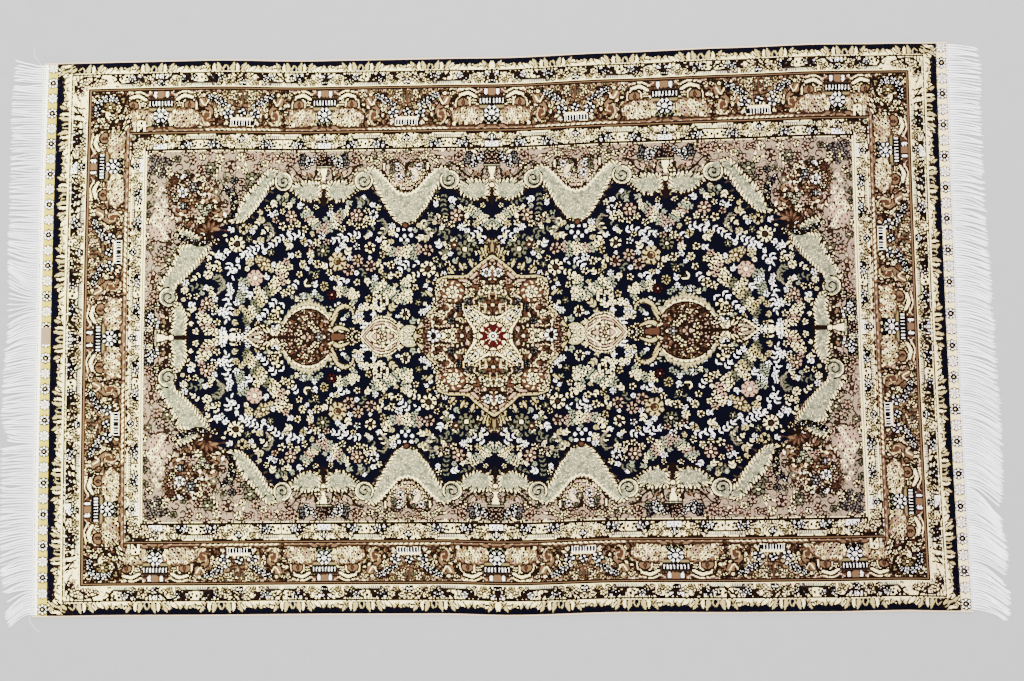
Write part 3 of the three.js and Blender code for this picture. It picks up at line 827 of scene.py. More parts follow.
def draw_corner_cartouche(plan):
    """The shield of brown and rust palmettes that fills each corner of the field."""
    plan.stand(0, 0)
    lobes = ((392, 166, 15), (406, 152, 12), (420, 162, 16), (436, 178, 17), (444, 198, 15), (436, 213, 11),
        (416, 214, 13), (400, 204, 15), (396, 186, 14), (422, 190, 18))
    for s, t, r in lobes:
        plan.dot(s, t, r * 0.84, (0, "cocoa"), (1.2, ("sand", "rose_sand", "rust", "blush")[s % 4]))
    rng = np.random.default_rng(8)
    for _ in range(260):
        lobe = lobes[rng.integers(len(lobes))]
        way, out = rng.uniform(0, 6.3), rng.uniform(0, 1.25)
        s, t = lobe[0] + lobe[2] * out * np.cos(way), lobe[1] + lobe[2] * out * np.sin(way)
        silk = ("brick", "rust", "ivory", "blush", "sand", "rose_sand", "ivory", "white")[rng.integers(8)]
        plan.leaf(s, t, rng.uniform(5, 10), rng.uniform(2.6, 4.2), rng.uniform(0, 360), silk,
            ("bark", None)[rng.integers(2)])
    plan.scatter("rust", (376, 460, 138, 228), 1500, 18, ("ivory", "blush", "sand", "sage"), "bark",
        (1.8, 3.6), 0.4)
    for s, t, r, silk, edge, heart in (
        (435, 198, 7.4, "white", "bark", "sage"), (423, 187, 6.4, "sand", "bark", "ivory"),
        (405, 170, 5, "mint", "bark", "ivory"),
        (398, 178, 4.4, "mint", "bark", "ivory"), (411, 178, 4, "mint", "bark", "ivory"),
        (420, 205, 6.4, "dove", "black", "white"),
        (447, 215, 6, "brick", "bark", "rust"), (434, 180, 5, "dove", "black", "white"),
        (444, 190, 4.6, "ivory", "black", "white"),
        (390, 199, 5, "sage", "brick", "ivory"), (410, 160, 5.4, "ivory", "bark", "rust"),
        (424, 168, 4.6, "blush", "bark", "rust"),
        (396, 210, 4.6, "blush", "bark", "brick"), (448, 202, 4, "blush", "bark", "brick"),
        (408, 216, 4.4, "ivory", "bark", "brick"),
    ):
        plan.flower(s, t, r, silk, edge, heart, 6, s)
    for turn in (20, 50, 80, 110, 140):
        plan.leaf(397, 143, 17, 6.4, turn, "rust", "bark", "sand")
    plan.leaf(384, 147, 12, 4, 10, "sand", "brick")


def draw_spandrel_flowers(plan):
    """The larger flowers of the corners and ends outside the ribbon."""
    plan.stand(0, 0)
    for s, t, r, silk, edge, heart in (
        (372, 232, 8, "blush", "bark", "cocoa"), (386, 244, 6, "ivory", "cocoa", "rose_sand"),
        (358, 246, 6, "ivory", "cocoa", "sage"),
        (342, 216, 9, "sage", "bark", "ivory"), (334, 230, 6, "blush", "bark", "brick"),
        (356, 212, 5, "blush", "bark", "plum"),
        (366, 214, 5, "dove", "black", "plum"), (352, 228, 5, "ivory", "bark", "brick"),
        (398, 232, 7, "sage", "bark", "ivory"),
        (312, 244, 6, "blush", "cocoa", "brick"), (322, 238, 5, "ivory", "cocoa", "sage"),
        (326, 250, 5, "blush", "cocoa", "brick"),
        (296, 246, 6, "blush", "bark", "brick"),
        (452, 140, 7, "blush", "bark", "plum"), (458, 116, 8, "rose_sand", "bark", "blush"),
        (452, 106, 7, "sage", "cocoa", "ivory"),
        (468, 104, 6, "blush", "cocoa", "brick"), (474, 82, 8, "blush", "bark", "brick"),
        (470, 60, 6, "blush", "bark", "brick"),
        (468, 44, 5, "ivory", "black", "sage"), (470, 20, 7, "white", "black", "sage"),
        (477, 12, 5, "ivory", "black", "dove"),
        (476, 30, 5, "white", "black", "dove"), (462, 136, 5, "ivory", "cocoa", "sage"),
        (478, 124, 5, "sage", "cocoa", "ivory"),
    ):
        plan.flower(s, t, r, silk, edge, heart, 6, s)
    plan.cloud(466, 154, 13, 22, ("ivory", "blush", "ivory"), "rose_sand", "cocoa", 6.6, 31)
    plan.cloud(465, 190, 10, 14, ("rose_sand", "sage", "ivory"), "rose_sand", "cocoa", 6.2, 32)
    for s, t, r in ((458, 240, 5), (466, 244, 5), (474, 238, 5), (462, 231, 5.4), (471, 229, 5),
            (478, 230, 4.4), (455, 231, 4.4), (466, 222, 4.4), (478, 246, 4)):
        plan.flower(s, t, r, ("dove", "ivory")[s % 2], "bark", "cocoa", 5, s)
    plan.stem([(462, 224), (452, 214), (456, 206)], 1.6, "bark")
    # scroll stems at the end
    plan.stem([(446, 44), (458, 40), (452, 26), (456, 14), (452, 4)], 2.6, "bark", 1.4)
    plan.stem([(446, 46), (456, 48), (466, 54), (472, 44)], 1.4, "bark")
    plan.stem([(440, 128), (438, 116), (444, 104), (456, 96), (464, 92)], 2.6, "bark", 1.4)
    plan.bar(452, 461, 80, 88, "brick")


def draw_field_flowers(plan):
    """The flowering trees of the dark field, from the medallion outwards."""
    plan.stand(0, 0)
    leaf_sprays = (
        ("white", 6, ([(14, 150), (20, 142), (30, 136)], [(250, 132), (258, 128)], [(356, 100), (364, 92)],
        [(204, 82), (210, 74)], [(272, 80), (278, 70), (284, 66)], [(316, 40), (322, 32)],)),
        ("sage", 6, ([(64, 196), (66, 182), (64, 168)], [(56, 146), (66, 140), (78, 144)],
        [(404, 66), (414, 70), (424, 66)], [(168, 188), (176, 184), (184, 188)],
        [(286, 188), (296, 190), (304, 184)],)),
        ("white", 5, ([(8, 138), (14, 130)], [(98, 104), (104, 98)], [(134, 64), (142, 58)],)),
        ("ivory", 6, ([(96, 160), (90, 150), (84, 140)], [(146, 150), (152, 140), (148, 130)],
        [(384, 106), (390, 96)], [(364, 14), (366, 4)], [(158, 74), (164, 66), (160, 58)],)),
        ("sage", 5, ([(70, 152), (76, 160)], [(40, 138), (50, 132), (62, 134)],
        [(174, 100), (180, 92), (176, 84)], [(256, 92), (250, 84), (244, 88)], [(160, 150), (168, 146)],
        [(24, 184), (34, 182), (42, 186)],)),
        ("white", 7, ([(180, 136), (192, 140), (202, 134)], [(206, 142), (214, 134), (222, 132)],
        [(262, 136), (272, 141), (282, 137)], [(292, 140), (302, 134), (312, 126)],
        [(322, 128), (334, 122), (346, 118)], [(330, 114), (342, 110), (352, 112)],
        [(368, 104), (372, 94), (368, 84)], [(368, 60), (374, 50), (370, 36), (374, 24)],
        [(112, 104), (118, 98), (124, 92)], [(292, 48), (298, 42)], [(304, 54), (310, 46)],
        [(294, 22), (302, 22)],)),
        ("sage", 7, ([(378, 62), (382, 76), (392, 84)],)),
        ("ivory", 5, ([(96, 84), (106, 84), (114, 80)], [(306, 130), (312, 140)],
        [(142, 100), (150, 96), (158, 98)], [(60, 108), (68, 112)], [(380, 142), (376, 134)],
        [(392, 118), (398, 108)], [(408, 88), (418, 80)], [(420, 40), (426, 32), (422, 20)],
        [(316, 152), (324, 144)], [(330, 160), (336, 150)],)),
        ("ivory", 7, ([(352, 12), (358, 8)],)),
    )
    for silk, size, paths in leaf_sprays:
        for points in paths:
            plan.spray(points, silk, size, 6.4, 2.3)
    # curling acanthus on both sides of the swags
    for s, t, hand in ((152, 150, 1), (83, 150, -1), (318, 146, 1), (386, 74, 1)):
        plan.stem([(s, t - 14), (s - hand * 8, t - 4), (s - hand * 4, t + 8), (s + hand * 6, t + 8)], 2.0,
            "rose_sand", 1.0)
        plan.spray([(s, t - 12), (s - hand * 8, t - 2), (s - hand * 2, t + 8)], "sage", 4.5, 4.6, 2.4)
    garlands = (
        ([(2, 152), (12, 160), (24, 169), (36, 176)], 4.2, ("ivory", "mint", "ivory"), "sage", 51),
        ([(205, 172), (216, 161), (226, 152), (234, 147)], 4.6, ("ivory", "mint", "blush"), "sage", 52),
        ([(264, 172), (253, 161), (243, 152), (235, 147)], 4.6, ("ivory", "mint", "blush"), "sage", 53),
        ([(96, 122), (108, 117), (122, 115), (138, 117), (152, 121)], 4.6, ("ivory", "blush", "mint",
        "ivory"), "sage", 54),
        ([(112, 52), (126, 52), (140, 60), (154, 68), (168, 68)], 5.0, ("ivory", "mint", "ivory", "mint"),
        "sage", 55),
        ([(118, 78), (118, 66), (112, 54)], 4.4, ("ivory", "ivory", "mint"), "sage", 56),
        ([(188, 52), (196, 60), (208, 62), (218, 62)], 4.4, ("mint", "ivory", "ivory"), "sage", 57),
        ([(238, 52), (246, 60), (256, 55), (266, 58), (274, 50)], 4.0, ("mint", "mint", "white"), "sage",
        58),
        ([(294, 104), (296, 90), (302, 76), (314, 67)], 5.4, ("blush", "ivory", "ivory"), "cocoa", 59),
        ([(314, 67), (324, 56), (332, 44), (342, 32), (350, 18)], 5.2, ("straw", "sage", "ivory"), "sage",
        60),
        ([(350, 78), (353, 66), (356, 54), (360, 44)], 4.4, ("mint", "mint", "white"), "sage", 61),
        ([(396, 56), (392, 46), (396, 34)], 4.4, ("ivory", "white"), "sage", 62),
        ([(410, 34), (404, 24), (398, 14), (392, 4)], 5.0, ("blush", "ivory", "ivory"), "cocoa", 63),
        ([(180, 42), (182, 32), (181, 20)], 4.0, ("white", "ivory"), "sage", 64),
        ([(60, 152), (70, 156), (74, 168)], 3.8, ("rose_sand", "ivory"), "cocoa", 65),
        ([(34, 136), (26, 126), (20, 112)], 4.0, ("sage", "ivory", "mint"), "sage", 66),
        ([(52, 130), (60, 120), (66, 106)], 4.0, ("ivory", "sage"), "sage", 67),
    )
    for points, r, silks, heart, seed in garlands:
        plan.blossoms(points, r, silks, None, heart, 1.2, seed, 5, 2 if r > 4.1 else 1)
    rosettes = (
        (48, 164, 9, "blush", "bark", "ivory", 7), (187, 166, 9, "blush", "bark", "ivory", 7),
        (283, 165, 9, "blush", "bark", "ivory", 7), (37, 118, 12, "sage", "black", "ivory", 8),
        (51, 124, 5, "cocoa", "brick", "ivory", 5), (87, 117, 8, "blush", "black", "brick", 6),
        (87, 91, 11, "ivory", "black", "cocoa", 8), (138, 97, 6, "ivory", "black", "cocoa", 6),
        (118, 30, 7.6, "ivory", "black", "cocoa", 8), (167, 96, 8.4, "blush", "black", "cocoa", 7),
        (185, 104, 8.4, "blush", "black", "gold", 7), (198, 91, 8.4, "blush", "black", "cocoa", 7),
        (214, 103, 13, "straw", "cocoa", "brick", 8), (235, 118, 9.4, "sage", "black", "ivory", 8),
        (168, 121, 8, "ivory", "black", "cocoa", 6), (186, 123, 5, "white", "black", "dove", 5),
        (230, 130, 5, "blush", "black", "cocoa", 5), (244, 129, 6, "ivory", "black", "sage", 6),
        (252, 122, 5, "blush", "black", "cocoa", 5), (244, 100, 6, "ivory", "black", "cocoa", 6),
        (265, 100, 6, "ivory", "black", "sage", 6), (272, 113, 5.4, "ivory", "black", "cocoa", 6),
        (257, 74, 6.4, "ivory", "black", "olive", 1), (233, 69, 6.6, "straw", "black", "gold", 8),
        (222, 57, 6.8, "cherry", "black", "blush", 6), (284, 64, 7, "ivory", "black", "straw", 5),
        (293, 60, 5.4, "ivory", "black", "straw", 5), (302, 33, 9, "ivory", "black", "straw", 5),
        (335, 81, 11, "blush", "brick", "ivory", 8), (322, 100, 9, "straw", "cocoa", "ivory", 7),
        (330, 106, 6, "straw", "cocoa", "ivory", 6), (361, 127, 11.5, "ivory", "black", "cocoa", 9),
        (400, 46, 8.4, "blush", "bark", "ivory", 7),
    )
    for s, t, r, silk, edge, heart, petals in rosettes:
        plan.flower(s, t, r, silk, edge, heart, petals, s)
    small_rosettes = (
        ("ivory", "sage", ((390, 38, 5), (207, 148, 5.2), (262, 148, 5.2), (74, 188, 4), (156, 176, 4.6),
        (384, 92, 4.4), (246, 84, 4.4), (284, 96, 5), (386, 20, 5), (414, 8, 5), (224, 178, 4),
        (246, 178, 4), (12, 178, 4),)),
        ("ivory", "cocoa", ((176, 153, 5.2), (186, 151, 5), (283, 151, 5), (34, 154, 5), (54, 152, 5),
        (64, 160, 4.4), (296, 152, 6), (388, 130, 4.6), (192, 132, 4), (128, 84, 5), (186, 74, 5),
        (226, 88, 5), (270, 86, 5), (424, 56, 4.4), (414, 56, 4.4), (104, 66, 4.4), (60, 98, 4.6),
        (76, 104, 4.4),)),
        ("ivory", "straw", ((196, 156, 5.2), (273, 155, 5.2),)),
        ("ivory", "olive", ((172, 172, 4.6), (296, 172, 4.6), (318, 176, 4.6),)),
        ("blush", "cocoa", ((306, 160, 5),)),
        ("sage", "ivory", ((344, 134, 5), (312, 116, 5), (70, 96, 4.6),)),
        ("straw", "cocoa", ((150, 112, 5), (170, 52, 5),)),
        ("straw", "sage", ((148, 82, 5),)),
        ("sage", "straw", ((100, 46, 5),)),
        ("mint", "straw", ((92, 58, 5),)),
    )
    for silk, heart, places in small_rosettes:
        for s, t, r in places:
            plan.flower(s, t, r, silk, "black", heart, 5, s)
    # a spray of seven white buds under each swag
    for s, t in ((-8, 6), (1, 7), (9, 6), (-9, -2), (0, -3), (11, -2), (5, -8), (-4, -9)):
        plan.dot(119 + s, 140 + t, 2.4, (0, "white"))


def draw_pendants(plan):
    """The chain from the medallion to the end: shell, collar, rust heart with volutes, and a palmette."""
    plan.stand(0, 0)
    for r, silk in ((16, "black"), (15, "straw")):
        plan.dot(112, 0, r, (0, silk))
    for s, t, r in ((106, 6, 4), (113, 9, 4), (120, 6, 4), (110, 0, 4.4), (120, 0, 4)):
        plan.flower(s, t, r, "ivory", "sage", "olive", 5, s)
    # shell
    shell = ((123, 130, 140, 152, 162, 172, 180, 186), (0, 19, 26, 28, 25, 15, 6, 0))
    rings = ((0, "ivory"), (2.2, "cocoa"), (3.2, "ivory"), (5.4, "cocoa"), (6.4, "blush"), (9, "cocoa"))
    rings += ((10, "ivory"), (13, "cocoa"), (14, "ivory"), (17, "cocoa"), (18, "blush"))
    plan.lay((122, 187, -1, 30), lambda s, t: (np.interp(s, *shell) - np.abs(t)) * 0.82, rings)
    for s in np.arange(130, 176, 5):
        plan.dot(s, np.interp(s, *shell) - 2.0, 0.9, (0, "cocoa"))
    rng = np.random.default_rng(3)
    for _ in range(40):
        s, t = rng.uniform(134, 170), rng.uniform(0, 18)
        if t < np.interp(s, *shell) - 10:
            plan.leaf(s, t, rng.uniform(4, 7), 2.2, rng.uniform(0, 360), ("sage", "blush", "ivory",
                "cocoa")[rng.integers(4)])
    plan.flower(151, 0, 7, "ivory", "cocoa", "blush", 8)
    # collar flowers
    for s, t, r in ((186, 4, 4.6), (193, 7, 5), (197, 0, 4), (203, 5, 5), (209, 1, 4)):
        plan.flower(s, t, r, "ivory", "black", "rust", 5, s)
    # volutes and halo of the heart
    halves = ((218, 224, 232, 242, 254, 266, 276, 286, 294, 304), (6, 18, 29, 36, 39, 38, 34, 26, 14, 0))

    def heart(s, t):
        return (np.interp(s, *halves) - np.abs(t)) * 0.86

    plan.lay((206, 308, -1, 52), lambda s, t: heart(s, t) + 9 + 1.4 * np.cos(s * 1.25),
        ((0, "sage"), (1.6, "straw")))
    plan.lay((206, 308, -1, 52), lambda s, t: heart(s, t) + 4.6, ((-0.4, "olive"), (0.8, "ivory")))
    plan.plume([(226, 14), (220, 24), (214, 36), (204, 42), (194, 38), (192, 30)], (8, 8, 7, 6, 4, 3),
        "straw", "bark", 1.2, 3.4)
    plan.stem([(224, 18), (218, 28), (210, 37), (200, 38)], 1.2, "olive")
    plan.plume([(222, 6), (214, 12), (205, 11), (198, 8)], (6, 6, 5, 3), "straw", "bark")
    plan.plume([(206, 0), (214, 0), (222, 0)], (6, 12, 10), "rust", "bark")
    plan.lay((212, 308, -1, 52), heart, ((0, "bark"), (1.4, "rust")))
    for s in np.arange(232, 290, 7):
        plan.dot(s, np.interp(s, *halves) + 3.4, 1.4, (0, "olive"))
    rng = np.random.default_rng(6)
    for _ in range(110):
        s, t = rng.uniform(224, 298), rng.uniform(0, 38)
        if heart(np.array(s), np.array(t)) > 3.5:
            silk = ("brick", "blush", "ivory", "rust", "blush", "sand", "rust")[rng.integers(7)]
            if rng.random() < 0.5:
                plan.leaf(s, t, rng.uniform(4, 8), 2.8, rng.uniform(0, 360), silk,
                    "bark" if rng.random() < 0.4 else None)
            else:
                plan.flower(s, t, rng.uniform(2.2, 3.6), silk, "bark", "blush", 5, s)
    plan.scatter("rust", (220, 304, 0, 40), 1500, 15, ("ivory", "blush", "brick", "sand"), "bark",
        (1.6, 3.0), 0.5)
    for s, t, r, silk in ((240, 0, 5.6, "dove"), (245, 10, 5.4, "ivory"), (252, 17, 5.4, "ivory"),
            (247, -11, 5, "ivory"), (262, 14, 4.4, "blush"), (258, 0, 6, "blush"), (270, 6, 5, "ivory"),
            (282, 0, 5, "blush")):
        plan.flower(s, t, r, silk, "bark", "white" if silk == "dove" else "rust", 5, s)
    # finial palmette, and the fine leaves of its stem
    leafy = ((303, 308, 314, 320, 328, 336, 344, 352), (0, 9, 15, 18, 17, 13, 7, 0))

    def finial(s, t):
        return (np.interp(s, *leafy) - np.abs(t)) * 0.8 + 0.9 * np.cos(s * 1.6)

    plan.lay((300, 356, -1, 22), finial, ((-0.6, "bark"), (0.6, "ivory"), (4.0, "cocoa"),
        (5.0, "rose_sand")))
    for turn in (0, 18, 36, 54, 75):
        plan.leaf(308, 0, 30 - turn * 0.2, 4.4, turn, "ivory", "bark")
    plan.flower(320, 0, 5, "blush", "bark", "brick", 6, 0)
    for s, t, r in ((296, 12, 5), (302, 24, 6), (358, 8, 4.0), (312, 28, 4.4)):
        plan.flower(s, t, r, "ivory", "black", "cocoa", 5, s)
    plan.stem([(352, 0), (362, 0), (374, 0), (388, 0)], 1.3, "ivory")
    for s, turn in ((356, 50), (364, 50), (372, 50), (380, 60)):
        plan.leaf(s, 0.5, 7, 2.4, turn, "white")


MEDALLION = (
    (0, 107), (4, 104), (12, 97), (20, 92), (27, 87), (33, 90), (40, 102), (46, 107), (52, 103), (58, 97),
    (64, 91), (68, 90), (72, 93), (78, 98), (84, 104), (90, 111),
)


def medallion_depth(s, t):
    """How far inside the medallion's rim a knot lies: the rim's radius is a table by angle, in degrees."""
    way = np.degrees(np.arctan2(np.abs(t), np.abs(s)))
    rim = np.interp(way, [a for a, _ in MEDALLION], [r for _, r in MEDALLION])
    return rim - np.hypot(s, t)


def draw_medallion(plan):
    """The middle: a crimson flower on four broad pale arms, in a lobed rust and straw medallion."""
    plan.stand(0, 0)
    # palmette finials across the rug
    for way in np.arange(40, 141, 14):
        plan.leaf(0, 100, 36 if abs(way - 90) < 20 else 28, 8, way, "straw", "bark", "sage")
    for way in (75, 90, 105):
        plan.leaf(0, 104, 28, 5, way, "gold", "cocoa", "bark")
    for way in np.arange(34, 90, 8):
        plan.leaf(96 * np.cos(np.radians(way)), 96 * np.sin(np.radians(way)), 15, 5, way, "straw", "bark")
    plan.lay((-1, 118, -1, 118), medallion_depth, ((-1.6, "black"), (0, "straw"), (5.0, "cocoa"),
        (6.2, "blush")))
    for way in np.arange(2, 90, 4.2):
        rim = np.interp(way, [a for a, _ in MEDALLION], [r for _, r in MEDALLION]) - 2.8
        plan.dot(rim * np.cos(np.radians(way)), rim * np.sin(np.radians(way)), 1.3, (0, "brick"))
    plan.lay((-1, 118, -1, 118), medallion_depth, ((10.5, "bark"), (11.8, "rust")))
    rng = np.random.default_rng(13)
    for _ in range(420):
        s, t = rng.uniform(0, 100), rng.uniform(0, 100)
        deep = medallion_depth(np.array(s), np.array(t))
        if deep < 8 or np.hypot(s, t) < 34:
            continue
        silk = ("brick", "ivory", "rust", "blush", "ivory", "rust", "rust", "rust",
            "brick")[rng.integers(9)]
        if rng.random() < 0.7:
            plan.leaf(s, t, rng.uniform(4, 8), rng.uniform(1.6, 2.8), rng.uniform(0, 360), silk,
                "bark" if rng.random() < 0.3 else None)
        else:
            plan.flower(s, t, rng.uniform(2.2, 4.0), silk, "bark", ("ivory", "brick")[rng.integers(2)], 5,
                s)
    plan.scatter("rust", (0, 104, 0, 104), 1600, 14, ("ivory", "blush", "brick", "sand", "ivory"), "bark",
        (1.8, 3.4), 0.5)
    # loose curls on the rust ground
    rng = np.random.default_rng(17)
    for _ in range(120):
        s, t, way, size = rng.uniform(0, 92), rng.uniform(0, 92), rng.uniform(0, 6.3), rng.uniform(3, 6)
        if medallion_depth(np.array(s), np.array(t)) > 12 and np.hypot(s, t) > 34:
            turn = way + np.linspace(0, 3.6, 7)
            path = np.stack([s + size * np.cos(turn), t + size * np.sin(turn)], 1)
            plan.stem(path, 1.4, ("ivory", "bark", "straw", "bark")[rng.integers(4)])
    # panels of rust with white flowers
    plan.dot(54, 60, 17, (0, "bark"), (1, "rust"))
    for turn in range(0, 360, 40):
        plan.leaf(54 + 11 * np.cos(np.radians(turn)), 60 + 11 * np.sin(np.radians(turn)), 5, 2.4, turn + 60,
            "ivory")
    for s, t, r, silk, heart in (
        (54, 59, 9, "ivory", "mint"), (65, 72, 5.4, "ivory", "rust"), (72, 66, 5.4, "ivory", "rust"),
        (28, 56, 4, "ivory", "rust"),
        (8, 63, 6.4, "ivory", "sage"), (8, 86, 6.6, "white", "sage"), (22, 74, 4.4, "blush", "brick"),
        (66, 46, 4.6, "blush", "brick"),
        (60, 0, 9, "ivory", "sage"), (80, 0, 9, "white", "black"), (70, 30, 4.6, "ivory", "rust"),
        (78, 42, 5, "ivory", "plum"),
        (88, 12, 4, "blush", "brick"), (92, 22, 4, "blush", "brick"), (98, 6, 4, "straw", "brick"),
        (46, 38, 4.4, "dove", "black"),
        (56, 20, 4.8, "dove", "black"), (34, 46, 4.8, "dove", "black"), (16, 50, 4.4, "sage", "black"),
        (48, 14, 4.4, "plum", "ivory"),
    ):
        plan.flower(s, t, r, silk, "bark" if silk != "dove" else "black", heart, 6 if r < 8 else 8, s)

    # four broad pale arms about the crimson flower, with bent lines and a small flower in each
    def star(s, t):
        return 27 + 25 * np.abs(np.sin(2 * np.arctan2(t, s))) ** 5 - np.hypot(s, t)

    plan.lay((-1, 56, -1, 56), star, ((-1.0, "bark"), (0, "ivory")))
    for side in (-1, 1):
        for out, bend in ((22, 8), (29, 7), (36, 6), (42, 5)):
            u = np.array([out - 6, out, out + 3, out - 1, out - 4])
            v = side * np.array([1.5, bend * 0.5, bend, bend + 1.5, bend * 0.8])
            bent = np.stack([u - v, u + v], 1) * np.sqrt(0.5)
            plan.stem(bent, 1.1, ("bark", "cocoa")[out % 2])
    for out, r in ((47, 3.4), (33, 2.6)):
        plan.flower(out * 0.707, out * 0.707, r, "white", "bark", "sage", 5, 0.8)
    for turn in range(0, 91, 9):
        plan.dot(22.4 * np.cos(np.radians(turn)), 22.4 * np.sin(np.radians(turn)), 1.1, (0, "cocoa"))
    for turn in (0, 90):
        way = np.radians(turn)
        plan.flower(42 * np.cos(way), 42 * np.sin(way), 8.4, "rust", "bark", "ivory", 6, way)
        for side in (-24, 24):
            plan.leaf(30 * np.cos(way), 30 * np.sin(way), 12, 3.0, turn + side, "rust", "bark")
    # crimson flower of twelve pointed petals
    plan.dot(0, 0, 20.5, (0, "cocoa"), (1.3, "ivory"))
    for k in range(12):
        plan.leaf(0, 0, 20.8, 8.4, 15 + 30 * k, "bark")
        plan.leaf(0, 0, 19.6, 6.8, 15 + 30 * k, "ivory")
    for k in range(12):
        way = np.radians(15 + 30 * k)
        plan.leaf(19 * np.cos(way), 19 * np.sin(way), 15, 5.6, 195 + 30 * k, "cherry")
    plan.dot(0, 0, 6.6, (0, "bark"), (1.0, "white"))
    plan.dot(0, 0, 2.6, (0, "bark"), (1.6, "ivory"))


def draw_plan():
    plan = Plan(PLAN_COLUMNS, PLAN_ROWS, HALF_LONG, HALF_WIDE)
    plan.knots[:] = NUMBER["rose_sand"]
    draw_spandrels(plan)
    for middle in (0.0, 2 * SWAG):
        plan.stand(middle, 0)
        vase(plan, 214)
    plan.stand(0, 0, True)
    vase(plan, 219)
    draw_spandrel_flowers(plan)
    draw_ribbon(plan)
    draw_field_flowers(plan)
    lay_ribbon(plan)
    plan.stand(0, 0)
    pale = ("ivory", "white", "straw", "ivory", "white", "white", "mint")
    plan.scatter("night", (2, 446, 0, 214), 1800, 77, pale, None, (3.0, 6.8), 0.62, "sage")
    # mottled silk in the ribbon, in flecks of four by five knots and in single ones
    rng = np.random.default_rng(2)
    flecks = np.kron(rng.random((91, 120)), np.ones((4, 5)))[:PLAN_ROWS]
    single = rng.random(plan.knots.shape)
    pale = plan.knots == NUMBER["ribbon"]
    plan.knots[pale & ((flecks < 0.3) | (single < 0.2))] = NUMBER["pale_ribbon"]
    plan.knots[pale & (single > 0.93)] = NUMBER["ivory"]
    draw_corner_cartouche(plan)
    draw_pendants(plan)
    draw_medallion(plan)
    draw_borders(plan)
    clear = medallion_depth(plan.x[None, :], plan.y[:, None]) < 4
    return thicken(plan.knots, plan.field & clear)


def thicken(knots, field):
    """Outlines two knots high, and two broad as well in the dark field and where they are black."""
    for silk in ("cocoa", "bark", "black"):
        dark = knots == NUMBER[silk]
        grown = np.roll(dark, 1, 0) | (np.roll(dark, 1, 1) & (field | (silk == "black")))
        knots[grown & ~np.isin(knots, [NUMBER["night"], NUMBER["black"], NUMBER["bark"]])] = NUMBER[silk]
    return knots


def whole(quarter):
    """The whole rug's knots: the quarter and its mirror images, rows from the near side to the far side."""
    upper = np.hstack([quarter[:, ::-1], quarter])
    return np.vstack([upper[::-1], upper])


# The nap's height in the middle, at its clipped edge, and the web that its sides go down to
NAP = 4.5
SHOULDER = 3.7
WEB = 1.2

# Where the near side runs, and the room that a side cord and its gap take
NEAR_SIDE = -383.0
CORD_ROOM = 2.7

# How each long side strays from straight: place along, then the shift of the far and of the near side
STRAY = np.array([
    (-660, 0, -3), (-600, 0.2, -3.2), (-520, 0.4, -2.4), (-400, 0.4, -2.6), (-240, -4.2, -2),
    (-80, -4.9, -2.4), (20, -5.8, -5), (170, -2.2, -1.8), (330, 0.8, -2.7), (440, 2.8, -2.4),
    (540, 1.6, -1), (600, 0.6, -2.2), (660, 0, -2.4),
])
# How far knots have crept along the rug, and across it, from where the plan has them
CREEP_ALONG = ((0, 117, 235, 300, 360, 410, 451, 488, 510, 565, HALF_LONG),
    (1.7, 0.2, 4, 9, 11, 8, 6.9, 6.6, 6, 3.9, 0))
CREEP_ACROSS = ((0, 256, 281, 340, 363, HALF_WIDE), (-1.2, 0.6, -0.2, 2, 1.4, 0))


def side(x, column):
    """How far a long side strays at x: a smooth step (3f2 - 2f3) from each row of the table to the next."""
    row = np.clip(np.searchsorted(STRAY[:, 0], x) - 1, 0, len(STRAY) - 2)
    f = np.clip((x - STRAY[row, 0]) / (STRAY[row + 1, 0] - STRAY[row, 0]), 0, 1)
    return STRAY[row, column] + (STRAY[row + 1, column] - STRAY[row, column]) * f * f * (3 - 2 * f)


def plan_place(along, across):
    """x and y of a point that is `along` the rug and `across` it, from -1 near to 1 far: the ends are bowed,
    the near side is shifted, and y runs evenly between the two sides where they stray."""
    x = along - 2.9 * along / HALF_LONG * across - 3.0 * (1 - across**2)
    near, far = NEAR_SIDE + side(x, 2) + CORD_ROOM, HALF_WIDE + side(x, 1) - CORD_ROOM
    return x, near + (far - near) * (across + 1) / 2


def knot_place(along, across):
    """x and y of a knot of the plan, where along and across are millimetres from the middle."""
    share = across / HALF_WIDE
    x, y = plan_place(along + np.interp(np.abs(along), *CREEP_ALONG), share)
    return x, y - 4.3 * (1 - share**2) + np.interp(np.abs(across), *CREEP_ACROSS)


def knotted_mesh(name, places, knots):
    """A grid of quads over an array of points in millimetres, each quad three by three knots. A quad keeps
    them as three numbers, one a row of its knots, in which each knot's silk counts 32 times the one before.
    The map OFBake is the grid laid out flat."""
    rows, columns = places.shape[0] - 1, places.shape[1] - 1
    corner = np.arange((rows + 1) * (columns + 1)).reshape(rows + 1, columns + 1)
    quads = np.stack([corner[:-1, :-1], corner[:-1, 1:], corner[1:, 1:], corner[1:, :-1]], -1)
    quads = quads.reshape(-1, 4)
    mesh = bpy.data.meshes.new(name)
    mesh.from_pydata(places.reshape(-1, 3) / 1000, [], quads)
    flat = np.stack(np.meshgrid(np.linspace(0, 1, columns + 1), np.linspace(0, 1, rows + 1)), -1)
    flat = flat.reshape(-1, 2)
    mesh.uv_layers.new(name="OFBake").uv.foreach_set("vector", flat[quads.ravel()].ravel())
    packed = knots.astype(np.int64).reshape(rows, 3, columns, 3) @ np.array([1, 32, 1024])
    silks = mesh.attributes.new("silks", "FLOAT_VECTOR", "FACE")
    silks.data.foreach_set("vector", packed.transpose(0, 2, 1).astype(np.float32).ravel())
    mesh.shade_smooth()
    piece = bpy.data.objects.new(name, mesh)
    bpy.context.collection.objects.link(piece)
    return piece


